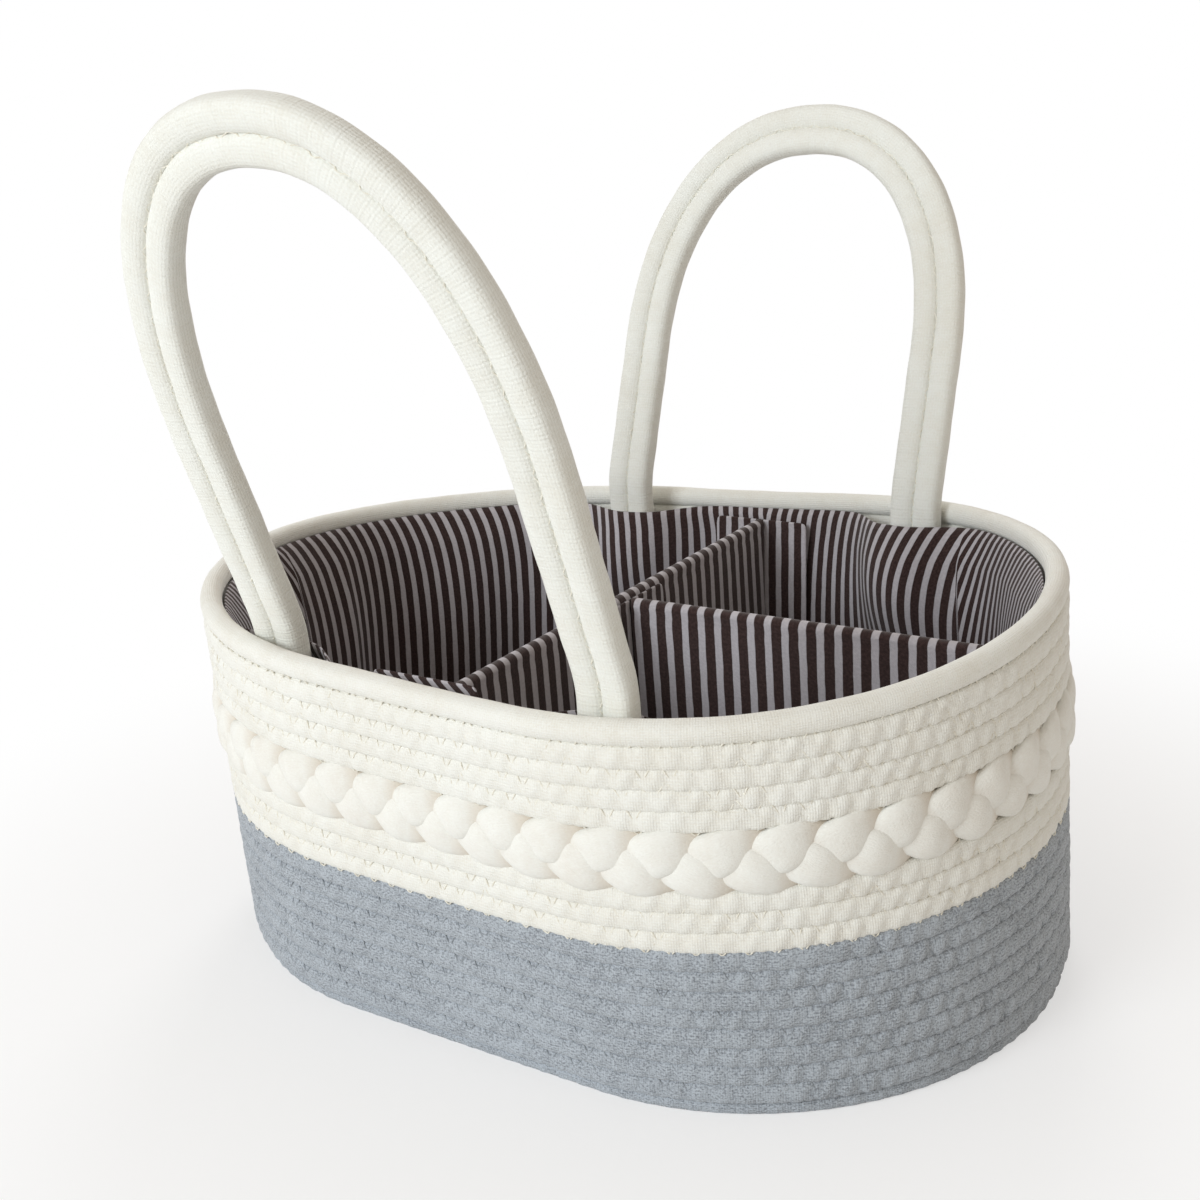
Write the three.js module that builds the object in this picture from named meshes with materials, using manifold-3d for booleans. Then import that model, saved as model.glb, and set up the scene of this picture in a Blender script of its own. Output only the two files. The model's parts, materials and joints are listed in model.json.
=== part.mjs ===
// Diaper caddy of coiled cotton cord, with a striped lining, two dividers that lift out and two handles.
// Millimetres, +Z up. The origin is on the floor under the middle of the base, X runs along the caddy and
// the front is at -Y. The cord lies in level rows. Each row steps over to the next one at the back, and each
// colour of cord thins out where it starts and ends, as a sewn cord end does.

import * as THREE from 'three';
import { mergeVertices } from 'three/addons/utils/BufferGeometryUtils.js';
import Module from 'manifold-3d';

const wasm = await Module();
wasm.setup();

// Outline of the wall, over all
const rimLength = 380;
const rimWidth = 290;
const baseLength = 387;
const baseWidth = 264;
const rimEndsRise = 3;
const rimTwist = 4.5;

// Coiled cord
const cordDiameter = 7.5;
const rowGap = 0.7;
const greyRows = 8;
const lowerCreamRows = 3;
const upperCreamRows = 4;
const baseLoops = 16;
const coarseBaseLoops = 1;
const rimCordDiameter = 9.2;
const rimEndGap = 0.9;
const rimSides = 8;

// Plait of three flat strands
const plaitHeight = 24.6;
const plaitRepeats = 17;
const strandWidth = 7.4;
const strandThickness = 4.4;
const strandWave = 3.9;
const plaitStepsPerRepeat = 12;

// Handles
const handleCordDiameter = 11.4;
const handleCordGap = 0.35;
const handleHalfSpan = 78;
const handleLegLength = 80;
const handleArchRise = 120;
const handleArchExponent = 2.2;
const frontHandleLeanDegrees = 17.5;
const backHandleHeightShare = 0.88;
const backHandleShift = 8;
const handleTailLength = 32;
const handleSides = 8;
const handleArchSteps = 16;
const hingeRise = 3.2;
const tailEndWidth = 9;
const tailEndThickness = 5;
const tailRoundShare = 0.45;
const tailMiddleShare = 0.8;

// Lining
const liningThickness = 1.2;
const liningHemDrop = 10;
const endFoldDepth = 7;
const footCoverWidth = 24;
const footCoverRun = 24;
const footCoverMargin = 3;
const leftEndFolds = 2.5;
const rightEndFolds = 2;
const liningRows = 8;

// Dividers, their flaps and tapes
const dividerTopDrop = 13.5;
const boardThickness = 3.4;
const coverCloth = 1;
const flapWidth = 50;
const flapThickness = 1.2;
const flapHeight = 116;
const tapeThickness = 1.2;
const tapeWidth = 40;
const tapeHeight = 42;
const tapeDrop = 4;
const flapMargin = 10;
const flapCurveSegments = 6;

// Clearances
const seatGap = 0.3;
const layGap = 0.5;
const facetAllowance = 0.5;

// Steps round one loop: ten on each round end and four on the straights
const arcSteps = 10;
const coarseArcSteps = 5;
const cordSides = 6;

// Where a coil's cord starts and ends, as shares of the step over, and its thinnest half size there
const coilStartShares = [0.3, 0.65];
const coilEndShares = [0.35, 0.7];
const thinnestCordHalf = 0.4;

// Heights, worked out from the floor up
const cordRadius = cordDiameter / 2;
const rowPitch = cordDiameter + rowGap;
const baseFlatDepth = cordDiameter / 10;
const baseCentreZ = cordRadius - baseFlatDepth;
const baseTopZ = baseCentreZ + cordRadius * Math.cos(Math.PI / 6);
const greyFirstZ = baseTopZ + layGap + cordRadius;
const lowerCreamFirstZ = greyFirstZ + greyRows * rowPitch;
const plaitBottomZ = lowerCreamFirstZ + (lowerCreamRows - 1) * rowPitch + cordRadius + layGap;
const plaitCentreZ = plaitBottomZ + plaitHeight / 2;
const upperCreamFirstZ = plaitBottomZ + plaitHeight + layGap + cordRadius;
const upperCreamTopZ = upperCreamFirstZ + (upperCreamRows - 1) * rowPitch + cordRadius;
const rimCentreZ = upperCreamTopZ + layGap + rimCordDiameter / 2;
const rimTopZ = rimCentreZ + rimCordDiameter / 2;

// Places across the wall, as insets from its outer face
const plaitHalfThickness = strandWave * Math.sin(Math.PI / 3) + strandThickness / 2;
const liningOuterInset = cordRadius + plaitHalfThickness + layGap;
const liningInnerInset = liningOuterInset + liningThickness;
const loopTapeInset = liningInnerInset + seatGap;
const hookTapeInset = loopTapeInset + tapeThickness + seatGap;
const flapInset = hookTapeInset + tapeThickness + seatGap;
const dividerEndInset = flapInset + flapThickness + seatGap;

// Looks
const colours = {
  grey: 0x9fa6ab, cream: 0xe9e4d6, lining: 0x7d706c, board: 0xc9c4b8, hook: 0xe2e0da, loop: 0xd6d3cb,
};
const cloth = (colour) => new THREE.MeshStandardMaterial({ color: colour, roughness: 0.95, metalness: 0 });
const material = Object.fromEntries(Object.entries(colours).map(([name, colour]) => [name, cloth(colour)]));

const caddy = new THREE.Group();

function addMesh(name, geometry, look, parent = caddy) {
  const mesh = new THREE.Mesh(geometry, look);
  mesh.name = name;
  parent.add(mesh);
  return mesh;
}

// Outline of the wall's outer face at a height: the half length of its straight sides and the end radius
function outlineAt(z) {
  const share = z / rimTopZ;
  const length = baseLength + (rimLength - baseLength) * share;
  const width = baseWidth + (rimWidth - baseWidth) * share;
  return { straight: (length - width) / 2, radius: width / 2 };
}

// A point of an oval loop. Step 0 is the middle of the back, and the steps go round by the left end
function loopPoint(step, { straight, radius }, arc = arcSteps) {
  const perLoop = 2 * arc + 4;
  const place = ((step % perLoop) + perLoop) % perLoop;
  if (place < 1) return [-straight * place, radius];
  if (place < arc + 1) {
    const angle = Math.PI / 2 + (Math.PI * (place - 1)) / arc;
    return [-straight + radius * Math.cos(angle), radius * Math.sin(angle)];
  }
  if (place < arc + 3) return [straight * (place - arc - 2), -radius];
  if (place < 2 * arc + 3) {
    const angle = -Math.PI / 2 + (Math.PI * (place - arc - 3)) / arc;
    return [straight + radius * Math.cos(angle), radius * Math.sin(angle)];
  }
  return [straight * (perLoop - place), radius];
}

// The soft rim isn't level: its ends stand higher, and it is a little twisted
function rimWave(x, y, z) {
  const angle = Math.atan2(y / rimWidth, x / rimLength);
  const share = Math.max(z - baseTopZ, 0) / (rimTopZ - baseTopZ);
  return share * (rimEndsRise * Math.cos(2 * angle) + rimTwist * Math.sin(2 * angle));
}

function wallPoint(step, z, inset) {
  const { straight, radius } = outlineAt(z);
  const [x, y] = loopPoint(step, { straight, radius: radius - inset });
  return new THREE.Vector3(x, y, z + rimWave(x, y, z));
}

// Points of a section: a polygon with its first corner at a start angle
function polygonSection(sides, startAngle = 0) {
  return Array.from({ length: sides }, (_, i) => {
    const angle = startAngle + (2 * Math.PI * i) / sides;
    return [Math.cos(angle), Math.sin(angle)];
  });
}

// A tube with one ring of section points at each station. A station has a position, two axes and a half size
// along each, and the first axis crossed with the second points along the way
function sweep(stations, section, closed = false) {
  const positions = [];
  for (const { position, across, up, halfAcross, halfUp } of stations) {
    for (const [a, b] of section) {
      const point = position.clone().addScaledVector(across, a * halfAcross).addScaledVector(up, b * halfUp);
      positions.push(point.x, point.y, point.z);
    }
  }
  const sides = section.length;
  const rings = stations.length;
  const corner = (ring, side) => (ring % rings) * sides + (side % sides);
  const index = [];
  for (let ring = 0; ring < rings - (closed ? 0 : 1); ring += 1) {
    for (let side = 0; side < sides; side += 1) {
      const [a, b] = [corner(ring, side), corner(ring + 1, side)];
      const [c, d] = [corner(ring + 1, side + 1), corner(ring, side + 1)];
      index.push(a, d, c, a, c, b);
    }
  }
  if (!closed) {
    for (let side = 1; side < sides - 1; side += 1) {
      index.push(corner(0, 0), corner(0, side + 1), corner(0, side));
      index.push(corner(rings - 1, 0), corner(rings - 1, side), corner(rings - 1, side + 1));
    }
  }
  const geometry = new THREE.BufferGeometry();
  geometry.setAttribute('position', new THREE.Float32BufferAttribute(positions, 3));
  geometry.setIndex(index);
  return geometry;
}

// Level axes for a list of places along a cord: across points to the left of the way, up is +Z
function levelStations(places, closed = false) {
  const count = places.length;
  const up = new THREE.Vector3(0, 0, 1);
  return places.map(({ position, halfSize }, i) => {
    const before = places[closed ? (i + count - 1) % count : Math.max(i - 1, 0)].position;
    const after = places[closed ? (i + 1) % count : Math.min(i + 1, count - 1)].position;
    const way = after.clone().sub(before).setZ(0).normalize();
    return { position, across: up.clone().cross(way), up, halfAcross: halfSize, halfUp: halfSize };
  });
}

// One cord that goes round many times. place(layer, step, arc) gives a point, and a layer is one pitch on
// from the last. The last step of a loop steps over to the next layer, and both ends fill the wedge there
function coilPlaces(loops, pitch, place, arcOf = () => arcSteps) {
  const full = cordRadius;
  const wedge = (share) => Math.max((pitch * share) / 2 - layGap, thinnestCordHalf);
  const firstArc = arcOf(0);
  const lastArc = arcOf(loops - 1);
  const places = [];
  for (const share of coilStartShares) {
    const layer = share / 2 - 0.5;
    places.push({ position: place(layer, 2 * firstArc + 3 + share, firstArc), halfSize: wedge(share) });
  }
  for (let loop = 0; loop < loops; loop += 1) {
    const arc = arcOf(loop);
    for (let step = 0; step <= 2 * arc + 3; step += 1) {
      const middleOfFront = step === arc + 2;
      if (!middleOfFront) places.push({ position: place(loop, step, arc), halfSize: full });
    }
  }
  for (const share of coilEndShares) {
    const layer = loops - 1 + share / 2;
    places.push({ position: place(layer, 2 * lastArc + 3 + share, lastArc), halfSize: wedge(1 - share) });
  }
  return places;
}

// Least gap between one turn and the next, on points along the cord
function printLeastGap(name, places) {
  const parts = 3;
  const points = [];
  for (let i = 0; i < places.length - 1; i += 1) {
    for (let part = 0; part < parts; part += 1) {
      const share = part / parts;
      points.push({
        at: places[i].position.clone().lerp(places[i + 1].position, share),
        half: places[i].halfSize * (1 - share) + places[i + 1].halfSize * share,
      });
    }
  }
  let least = Infinity;
  const apart = coarseArcSteps * parts;
  for (let i = 0; i < points.length; i += 1) {
    for (let j = i + apart; j < points.length; j += 1) {
      least = Math.min(least, points[i].at.distanceTo(points[j].at) - points[i].half - points[j].half);
    }
  }
  console.log(`${name}: least gap to itself ${least.toFixed(2)} mm`);
}

function addCoil(name, places, section, look) {
  printLeastGap(name, places);
  addMesh(name, sweep(levelStations(places), section), look);
}

// The flat coil of the base. Its cord is cut flat where the caddy stands
function addBaseCoil() {
  const { straight, radius } = outlineAt(0);
  const innerTurn = cordRadius + layGap;
  const pitch = (radius - cordRadius - innerTurn) / (baseLoops - 1);
  const place = (layer, step, arc) => {
    const [x, y] = loopPoint(step, { straight, radius: innerTurn + pitch * layer }, arc);
    return new THREE.Vector3(x, y, baseCentreZ);
  };
  const arcOf = (loop) => (loop < coarseBaseLoops ? coarseArcSteps : arcSteps);
  const places = coilPlaces(baseLoops, pitch, place, arcOf);
  printLeastGap('base_coil', places);
  const geometry = sweep(levelStations(places), polygonSection(cordSides));
  const points = geometry.attributes.position;
  for (let i = 0; i < points.count; i += 1) points.setZ(i, Math.max(points.getZ(i), 0));
  addMesh('base_coil', geometry, material.grey);
}

// Rows of the wall, with the flats of the cord's section facing out
function addWallCoil(name, rows, firstZ, look) {
  const place = (layer, step) => wallPoint(step, firstZ + layer * rowPitch, cordRadius);
  addCoil(name, coilPlaces(rows, rowPitch, place), polygonSection(cordSides, Math.PI / 2), look);
}

// The fatter cord of the rim goes round once, and its ends meet at the back
function addRimCord() {
  const half = rimCordDiameter / 2;
  const lastStep = 2 * arcSteps + 4;
  const endStep = rimEndGap / 2 / outlineAt(rimCentreZ).straight;
  const places = Array.from({ length: lastStep + 1 }, (_, i) => {
    const step = Math.min(Math.max(i, endStep), lastStep - endStep);
    return { position: wallPoint(step, rimCentreZ, half), halfSize: half };
  });
  const section = polygonSection(rimSides, Math.PI / rimSides);
  addMesh('rim_cord', sweep(levelStations(places), section), material.cream);
}

// The step at a share of the way round an oval, measured along it
function stepByLength(share, { straight, radius }) {
  const roundEnd = { length: Math.PI * radius, steps: arcSteps };
  const halfSide = { length: straight, steps: 1 };
  const stretches = [halfSide, roundEnd, halfSide, halfSide, roundEnd, halfSide];
  let rest = share * (2 * roundEnd.length + 4 * halfSide.length);
  let step = 0;
  for (const { length, steps } of stretches) {
    if (rest < length) return step + (steps * rest) / length;
    rest -= length;
    step += steps;
  }
  return step;
}

// One strand of the plait. It sways up and down once in a repeat and in and out twice, so that it passes
// over one strand and under the other
function strandPlaces(phase) {
  const sway = (plaitHeight - strandWidth) / 2;
  const count = plaitRepeats * plaitStepsPerRepeat;
  return Array.from({ length: count }, (_, i) => {
    const turn = (2 * Math.PI * i) / plaitStepsPerRepeat + phase;
    const z = plaitCentreZ + sway * Math.sin(turn);
    const { straight, radius } = outlineAt(z);
    const middle = { straight, radius: radius - cordRadius + strandWave * Math.sin(2 * turn) };
    const [x, y] = loopPoint(stepByLength(i / count, middle), middle);
    return new THREE.Vector3(x, y, z + rimWave(x, y, z));
  });
}

function addPlait() {
  const vertical = new THREE.Vector3(0, 0, 1);
  ['a', 'b', 'c'].forEach((letter, number) => {
    const points = strandPlaces((2 * Math.PI * number) / 3);
    const count = points.length;
    const stations = points.map((position, i) => {
      const way = points[(i + 1) % count].clone().sub(points[(i + count - 1) % count]).normalize();
      const across = vertical.clone().cross(way).normalize();
      const up = way.clone().cross(across);
      return { position, across, up, halfAcross: strandThickness / 2, halfUp: strandWidth / 2 };
    });
    addMesh(`braid_strand_${letter}`, sweep(stations, polygonSection(4), true), material.cream);
  });
}

// Handles. Each cord is a leg, an arch and a leg in the handle's own upright plane, with a ball at each foot
const handleRadius = handleCordDiameter / 2;
const handleCordOffset = (handleCordDiameter + handleCordGap) / 2;
const hingeZ = rimTopZ + hingeRise;

// Rings of the ball at a foot, as shares of its radius below its middle
const footDrops = [0.94, 0.68, 0];

// The feet stand inside the rim cord, at the outer cord of the handle where the oval is narrowest
function hingeOffset(shift) {
  const { straight, radius } = outlineAt(rimCentreZ);
  const reach = radius - rimCordDiameter - layGap - handleRadius - (shift > 0 ? facetAllowance : 0);
  return Math.sqrt(reach ** 2 - (handleHalfSpan + handleCordOffset + Math.abs(shift) - straight) ** 2);
}

// The back handle stands lower and a little to the right, and reaches out as far as the front one
function handlePair() {
  const topHeight = (share) => (handleLegLength + handleArchRise) * share + handleCordOffset + handleRadius;
  const front = { side: -1, centreX: 0, heightShare: 1, hingeY: hingeOffset(0) };
  front.lean = THREE.MathUtils.degToRad(frontHandleLeanDegrees);
  const back = { side: 1, centreX: backHandleShift, heightShare: backHandleHeightShare };
  back.hingeY = hingeOffset(backHandleShift);
  const reach = front.hingeY + topHeight(1) * Math.sin(front.lean);
  back.lean = Math.asin((reach - back.hingeY) / topHeight(backHandleHeightShare));
  return { front, back };
}
const handles = handlePair();

function archPoint(share, heightShare) {
  const angle = Math.PI * (1 - share);
  const power = 2 / handleArchExponent;
  const side = Math.sign(Math.cos(angle)) * Math.abs(Math.cos(angle)) ** power;
  const rise = Math.max(Math.sin(angle), 0) ** power;
  const height = (handleLegLength + handleArchRise * rise) * heightShare;
  return new THREE.Vector3(handleHalfSpan * side, 0, height);
}

// The flats of the cord's section lie on its round, so that the two cords meet flat to flat
function handleStations(offset, heightShare) {
  const outOfPlane = new THREE.Vector3(0, 1, 0);
  const foot = (side) => footDrops.map((drop) => {
    const at = new THREE.Vector3(side * handleHalfSpan, 0, -drop * handleRadius);
    return { at, size: Math.sqrt(1 - drop ** 2) };
  });
  const arch = Array.from({ length: handleArchSteps + 1 }, (_, i) => {
    return { at: archPoint(i / handleArchSteps, heightShare), size: 1 };
  });
  const route = [...foot(-1), ...arch, ...foot(1).reverse()];
  return route.map(({ at, size }, i) => {
    const before = route[Math.max(i - 1, 0)].at;
    const after = route[Math.min(i + 1, route.length - 1)].at;
    const onLeg = Math.min(i, route.length - 1 - i) <= footDrops.length;
    const rising = i < route.length / 2 ? 1 : -1;
    const way = onLeg ? new THREE.Vector3(0, 0, rising) : after.clone().sub(before).normalize();
    const outward = way.clone().cross(outOfPlane);
    const position = at.clone().addScaledVector(outward, offset);
    const half = (handleRadius * size) / Math.cos(Math.PI / handleSides);
    return { position, across: outward, up: outOfPlane.clone().negate(), halfAcross: half, halfUp: half };
  });
}

// The cord's sewn-in end goes down between the wall and the lining and is pressed flat
const tailTopZ = hingeZ - handleRadius - seatGap;
function tailGeometry() {
  const down = [
    [0, handleRadius, handleRadius],
    [handleTailLength * tailRoundShare, handleRadius, handleRadius * tailMiddleShare],
    [handleTailLength, tailEndWidth / 2, tailEndThickness / 2],
  ];
  const across = new THREE.Vector3(1, 0, 0);
  const up = new THREE.Vector3(0, -1, 0);
  const stations = down.map(([drop, halfAcross, halfUp]) => {
    return { position: new THREE.Vector3(0, handleRadius - halfUp, -drop), across, up, halfAcross, halfUp };
  });
  return sweep(stations, polygonSection(handleSides, Math.PI / handleSides));
}

function addHandle(end, { side, centreX, heightShare, hingeY, lean }) {
  const swing = new THREE.Group();
  swing.position.set(centreX, side * hingeY, hingeZ);
  swing.rotation.x = -side * lean;
  caddy.add(swing);
  const section = polygonSection(handleSides, Math.PI / handleSides);
  for (const [ply, offset] of [['outer', handleCordOffset], ['inner', -handleCordOffset]]) {
    const cord = sweep(handleStations(offset, heightShare), section);
    addMesh(`${end}_handle_${ply}_cord`, cord, material.cream, swing);
  }
  const feet = [['left_outer', -1, 1], ['left_inner', -1, -1], ['right_inner', 1, -1], ['right_outer', 1, 1]];
  for (const [place, direction, ply] of feet) {
    const tail = addMesh(`${end}_${place}_cord_end`, tailGeometry(), material.cream);
    const x = centreX + direction * (handleHalfSpan + ply * handleCordOffset);
    tail.position.set(x, side * hingeY, tailTopZ);
    tail.rotation.z = side > 0 ? 0 : Math.PI;
  }
}

// Lining. The bag wall hangs loose at both ends and passes in front of the handles' sewn-in ends
const liningBottomZ = baseTopZ + seatGap;
const floorTopZ = liningBottomZ + liningThickness;
const liningWallBottomZ = floorTopZ + seatGap;
const hemTopZ = rimTopZ - liningHemDrop;
const smooth = THREE.MathUtils.smoothstep;

function footCover(x, y, z) {
  const tailBottomZ = tailTopZ - handleTailLength;
  const { radius, straight } = outlineAt(hemTopZ);
  const { centreX, hingeY } = y < 0 ? handles.front : handles.back;
  const inward = hingeY - handleRadius - layGap;
  const innerFoot = handleHalfSpan - handleCordOffset - handleRadius;
  const needed = radius - Math.hypot(inward, Math.max(innerFoot - straight, 0)) + layGap;
  const beside = Math.exp(-(((Math.abs(x - centreX) - handleHalfSpan) / footCoverWidth) ** 4));
  const above = smooth(z, tailBottomZ - footCoverRun, tailBottomZ - footCoverMargin);
  return (needed - liningOuterInset) * beside * above;
}

// Loose folds at the round ends. The right end stays flat where the long divider's flap lies on it
function endFold(x, y, z) {
  const { straight, radius } = outlineAt(z);
  if (Math.abs(x) <= straight) return 0;
  const angle = Math.atan2(Math.abs(y), Math.abs(x) - straight);
  const quiet = x > 0 ? (flapWidth / 2 + flapMargin) / radius : 0;
  const share = Math.max((angle - quiet) / (Math.PI / 2 - quiet), 0);
  const rightFolds = Math.sin(rightEndFolds * Math.PI * share) ** 2;
  const leftFolds = Math.cos(leftEndFolds * Math.PI * share) ** 2;
  const folds = x > 0 ? rightFolds : leftFolds;
  const height = (z - liningWallBottomZ) / (hemTopZ - liningWallBottomZ);
  return endFoldDepth * folds * Math.sin(Math.PI * Math.min(Math.max(height, 0), 1));
}

function liningInset(step, z) {
  const { straight, radius } = outlineAt(z);
  const [x, y] = loopPoint(step, { straight, radius });
  return liningOuterInset + footCover(x, y, z) + endFold(x, y, z);
}

function addWallLining() {
  const columns = 4 * arcSteps + 8;
  const rows = liningRows;
  const positions = [];
  const layer = (extra) => {
    for (let row = 0; row <= rows; row += 1) {
      const z = liningWallBottomZ + ((hemTopZ - liningWallBottomZ) * row) / rows;
      for (let column = 0; column < columns; column += 1) {
        const point = wallPoint(column / 2, z, liningInset(column / 2, z) + extra);
        positions.push(point.x, point.y, row === 0 ? z : point.z);
      }
    }
  };
  layer(0);
  layer(liningThickness);
  const inner = (rows + 1) * columns;
  const corner = (row, column) => row * columns + (column % columns);
  const index = [];
  const quad = (a, b, c, d) => index.push(a, b, c, a, c, d);
  for (let column = 0; column < columns; column += 1) {
    for (let row = 0; row < rows; row += 1) {
      const [a, b] = [corner(row, column), corner(row, column + 1)];
      const [c, d] = [corner(row + 1, column + 1), corner(row + 1, column)];
      quad(a, b, c, d);
      quad(inner + b, inner + a, inner + d, inner + c);
    }
    const [low, next] = [corner(0, column), corner(0, column + 1)];
    quad(next, low, inner + low, inner + next);
    const [high, after] = [corner(rows, column), corner(rows, column + 1)];
    quad(high, after, inner + after, inner + high);
  }
  const geometry = new THREE.BufferGeometry();
  geometry.setAttribute('position', new THREE.Float32BufferAttribute(positions, 3));
  geometry.setIndex(index);
  addMesh('wall_lining', geometry, material.lining);
}

function addFloorLining() {
  const { straight, radius } = outlineAt(0);
  const shape = new THREE.Shape();
  for (let step = 0; step < 2 * arcSteps + 4; step += 1) {
    const [x, y] = loopPoint(step, { straight, radius: radius - liningOuterInset });
    if (step === 0) shape.moveTo(x, y);
    else shape.lineTo(x, y);
  }
  const geometry = new THREE.ExtrudeGeometry(shape, { depth: liningThickness, bevelEnabled: false });
  geometry.translate(0, 0, liningBottomZ);
  addMesh('floor_lining', geometry, material.lining);
}

// A plate with an outline of points across and up, stood upright and given its thickness along X
function uprightPlate(points, xLow, thickness) {
  const shape = new THREE.Shape(points.map(([across, up]) => new THREE.Vector2(across, up)));
  const geometry = new THREE.ExtrudeGeometry(shape, { depth: thickness, bevelEnabled: false });
  geometry.applyMatrix4(new THREE.Matrix4().set(0, 0, 1, xLow, 1, 0, 0, 0, 0, 1, 0, 0, 0, 0, 0, 1));
  return geometry;
}

function toManifold(geometry) {
  const bare = geometry.clone();
  bare.deleteAttribute('normal');
  bare.deleteAttribute('uv');
  const merged = mergeVertices(bare, 1e-4);
  const vertProperties = new Float32Array(merged.attributes.position.array);
  const triVerts = new Uint32Array(merged.index.array);
  return new wasm.Manifold(new wasm.Mesh({ numProp: 3, vertProperties, triVerts }));
}

function fromManifold(solid) {
  const { vertProperties, triVerts } = solid.getMesh();
  const geometry = new THREE.BufferGeometry();
  geometry.setAttribute('position', new THREE.BufferAttribute(vertProperties, 3));
  geometry.setIndex(new THREE.BufferAttribute(triVerts, 1));
  return geometry;
}

// A cloth cover is a pocket, open along the bottom where the board goes in
const coverThickness = boardThickness + 2 * (coverCloth + seatGap);
const dividerBottomZ = floorTopZ + seatGap;
const dividerTopZ = rimTopZ - dividerTopDrop;
const flapTopZ = dividerTopZ - layGap;
const flapBottomZ = flapTopZ - flapHeight;
const tapeTopZ = flapTopZ - tapeDrop;
const tapeBottomZ = tapeTopZ - tapeHeight;

const cavityThickness = coverThickness - 2 * coverCloth;
const boardMargin = coverCloth + seatGap;

// The cavity is cut out of the outer block, and goes on past its bottom
const pocket = (outer, cavity) => fromManifold(toManifold(outer).subtract(toManifold(cavity)));
const cutPast = 1;

// Half length of the cross divider at a height, less a margin
const crossReach = (z, margin) => outlineAt(z).radius - dividerEndInset - margin;

function crossOutline(margin, bottom, top) {
  const [low, high] = [crossReach(bottom, margin), crossReach(top, margin)];
  return [[-low, bottom], [low, bottom], [high, top], [-high, top]];
}

function addCrossDivider() {
  const place = (outline, thickness) => uprightPlate(outline, -thickness / 2, thickness);
  const outer = crossOutline(0, dividerBottomZ, dividerTopZ);
  const cavity = crossOutline(coverCloth, dividerBottomZ - cutPast, dividerTopZ - coverCloth);
  const cover = pocket(place(outer, coverThickness), place(cavity, cavityThickness));
  addMesh('cross_divider_cover', cover, material.lining);
  const board = crossOutline(boardMargin, dividerBottomZ, dividerTopZ - boardMargin);
  addMesh('cross_divider_board', place(board, boardThickness), material.board);
}

// A strip that follows the straight front or back wall between two heights
function wallStrip(side, width, bottom, top, inset, thickness) {
  const reach = (z, extra) => side * (outlineAt(z).radius - inset - extra);
  const outline = [
    [reach(bottom, thickness), bottom], [reach(bottom, 0), bottom],
    [reach(top, 0), top], [reach(top, thickness), top],
  ];
  if (side < 0) outline.reverse();
  return uprightPlate(outline, -width / 2, width);
}

function addCrossFlaps() {
  for (const [end, side] of [['front', -1], ['back', 1]]) {
    const flap = wallStrip(side, flapWidth, flapBottomZ, flapTopZ, flapInset, flapThickness);
    addMesh(`cross_divider_${end}_flap`, flap, material.lining);
    const hook = wallStrip(side, tapeWidth, tapeBottomZ, tapeTopZ, hookTapeInset, tapeThickness);
    addMesh(`cross_divider_${end}_hook_tape`, hook, material.hook);
    const loop = wallStrip(side, tapeWidth, tapeBottomZ, tapeTopZ, loopTapeInset, tapeThickness);
    addMesh(`${end}_wall_loop_tape`, loop, material.loop);
  }
}

// The outline that the upright flap at the round end can follow, which is the shorter one of two heights
function endOutline() {
  const [low, high] = [outlineAt(flapBottomZ), outlineAt(dividerTopZ)];
  return low.straight + low.radius < high.straight + high.radius ? low : high;
}

// A strip that follows the round right end, upright so that it clears the wall when it is lifted
function endStrip(width, bottom, top, inset, thickness) {
  const { straight, radius } = endOutline();
  const outer = radius - inset - facetAllowance;
  const half = width / 2 / outer;
  const shape = new THREE.Shape();
  shape.absarc(straight, 0, outer, -half, half, false);
  shape.absarc(straight, 0, outer - thickness, half, -half, true);
  const depth = top - bottom;
  const options = { depth, bevelEnabled: false, curveSegments: flapCurveSegments };
  return new THREE.ExtrudeGeometry(shape, options).translate(0, 0, bottom);
}

// Places along X where the long divider meets the cross divider: loop tape, hook tape, flap and board
const jointLoopX = coverThickness / 2 + seatGap;
const jointHookX = jointLoopX + tapeThickness + seatGap;
const jointFlapX = jointHookX + tapeThickness + seatGap;
const longNearX = jointFlapX + flapThickness + seatGap;

// A block along X between two heights, with its thickness or width centred on the XZ plane
function middleBlock(x0, x1, acrossY, bottom, top) {
  const geometry = new THREE.BoxGeometry(x1 - x0, acrossY, top - bottom);
  return geometry.translate((x0 + x1) / 2, 0, (bottom + top) / 2);
}

// The long divider runs from the middle of the cross divider to the right end
function addLongDivider() {
  const { straight, radius } = endOutline();
  const endRadius = radius - dividerEndInset - facetAllowance;
  const farX = straight + endRadius * Math.cos(coverThickness / radius) - layGap;
  const outer = middleBlock(longNearX, farX, coverThickness, dividerBottomZ, dividerTopZ);
  const [low, high] = [dividerBottomZ - cutPast, dividerTopZ - coverCloth];
  const cavity = middleBlock(longNearX + coverCloth, farX - coverCloth, cavityThickness, low, high);
  addMesh('long_divider_cover', pocket(outer, cavity), material.lining);
  const [nearX, endX] = [longNearX + boardMargin, farX - boardMargin];
  const board = middleBlock(nearX, endX, boardThickness, dividerBottomZ, dividerTopZ - boardMargin);
  addMesh('long_divider_board', board, material.board);
}

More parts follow.
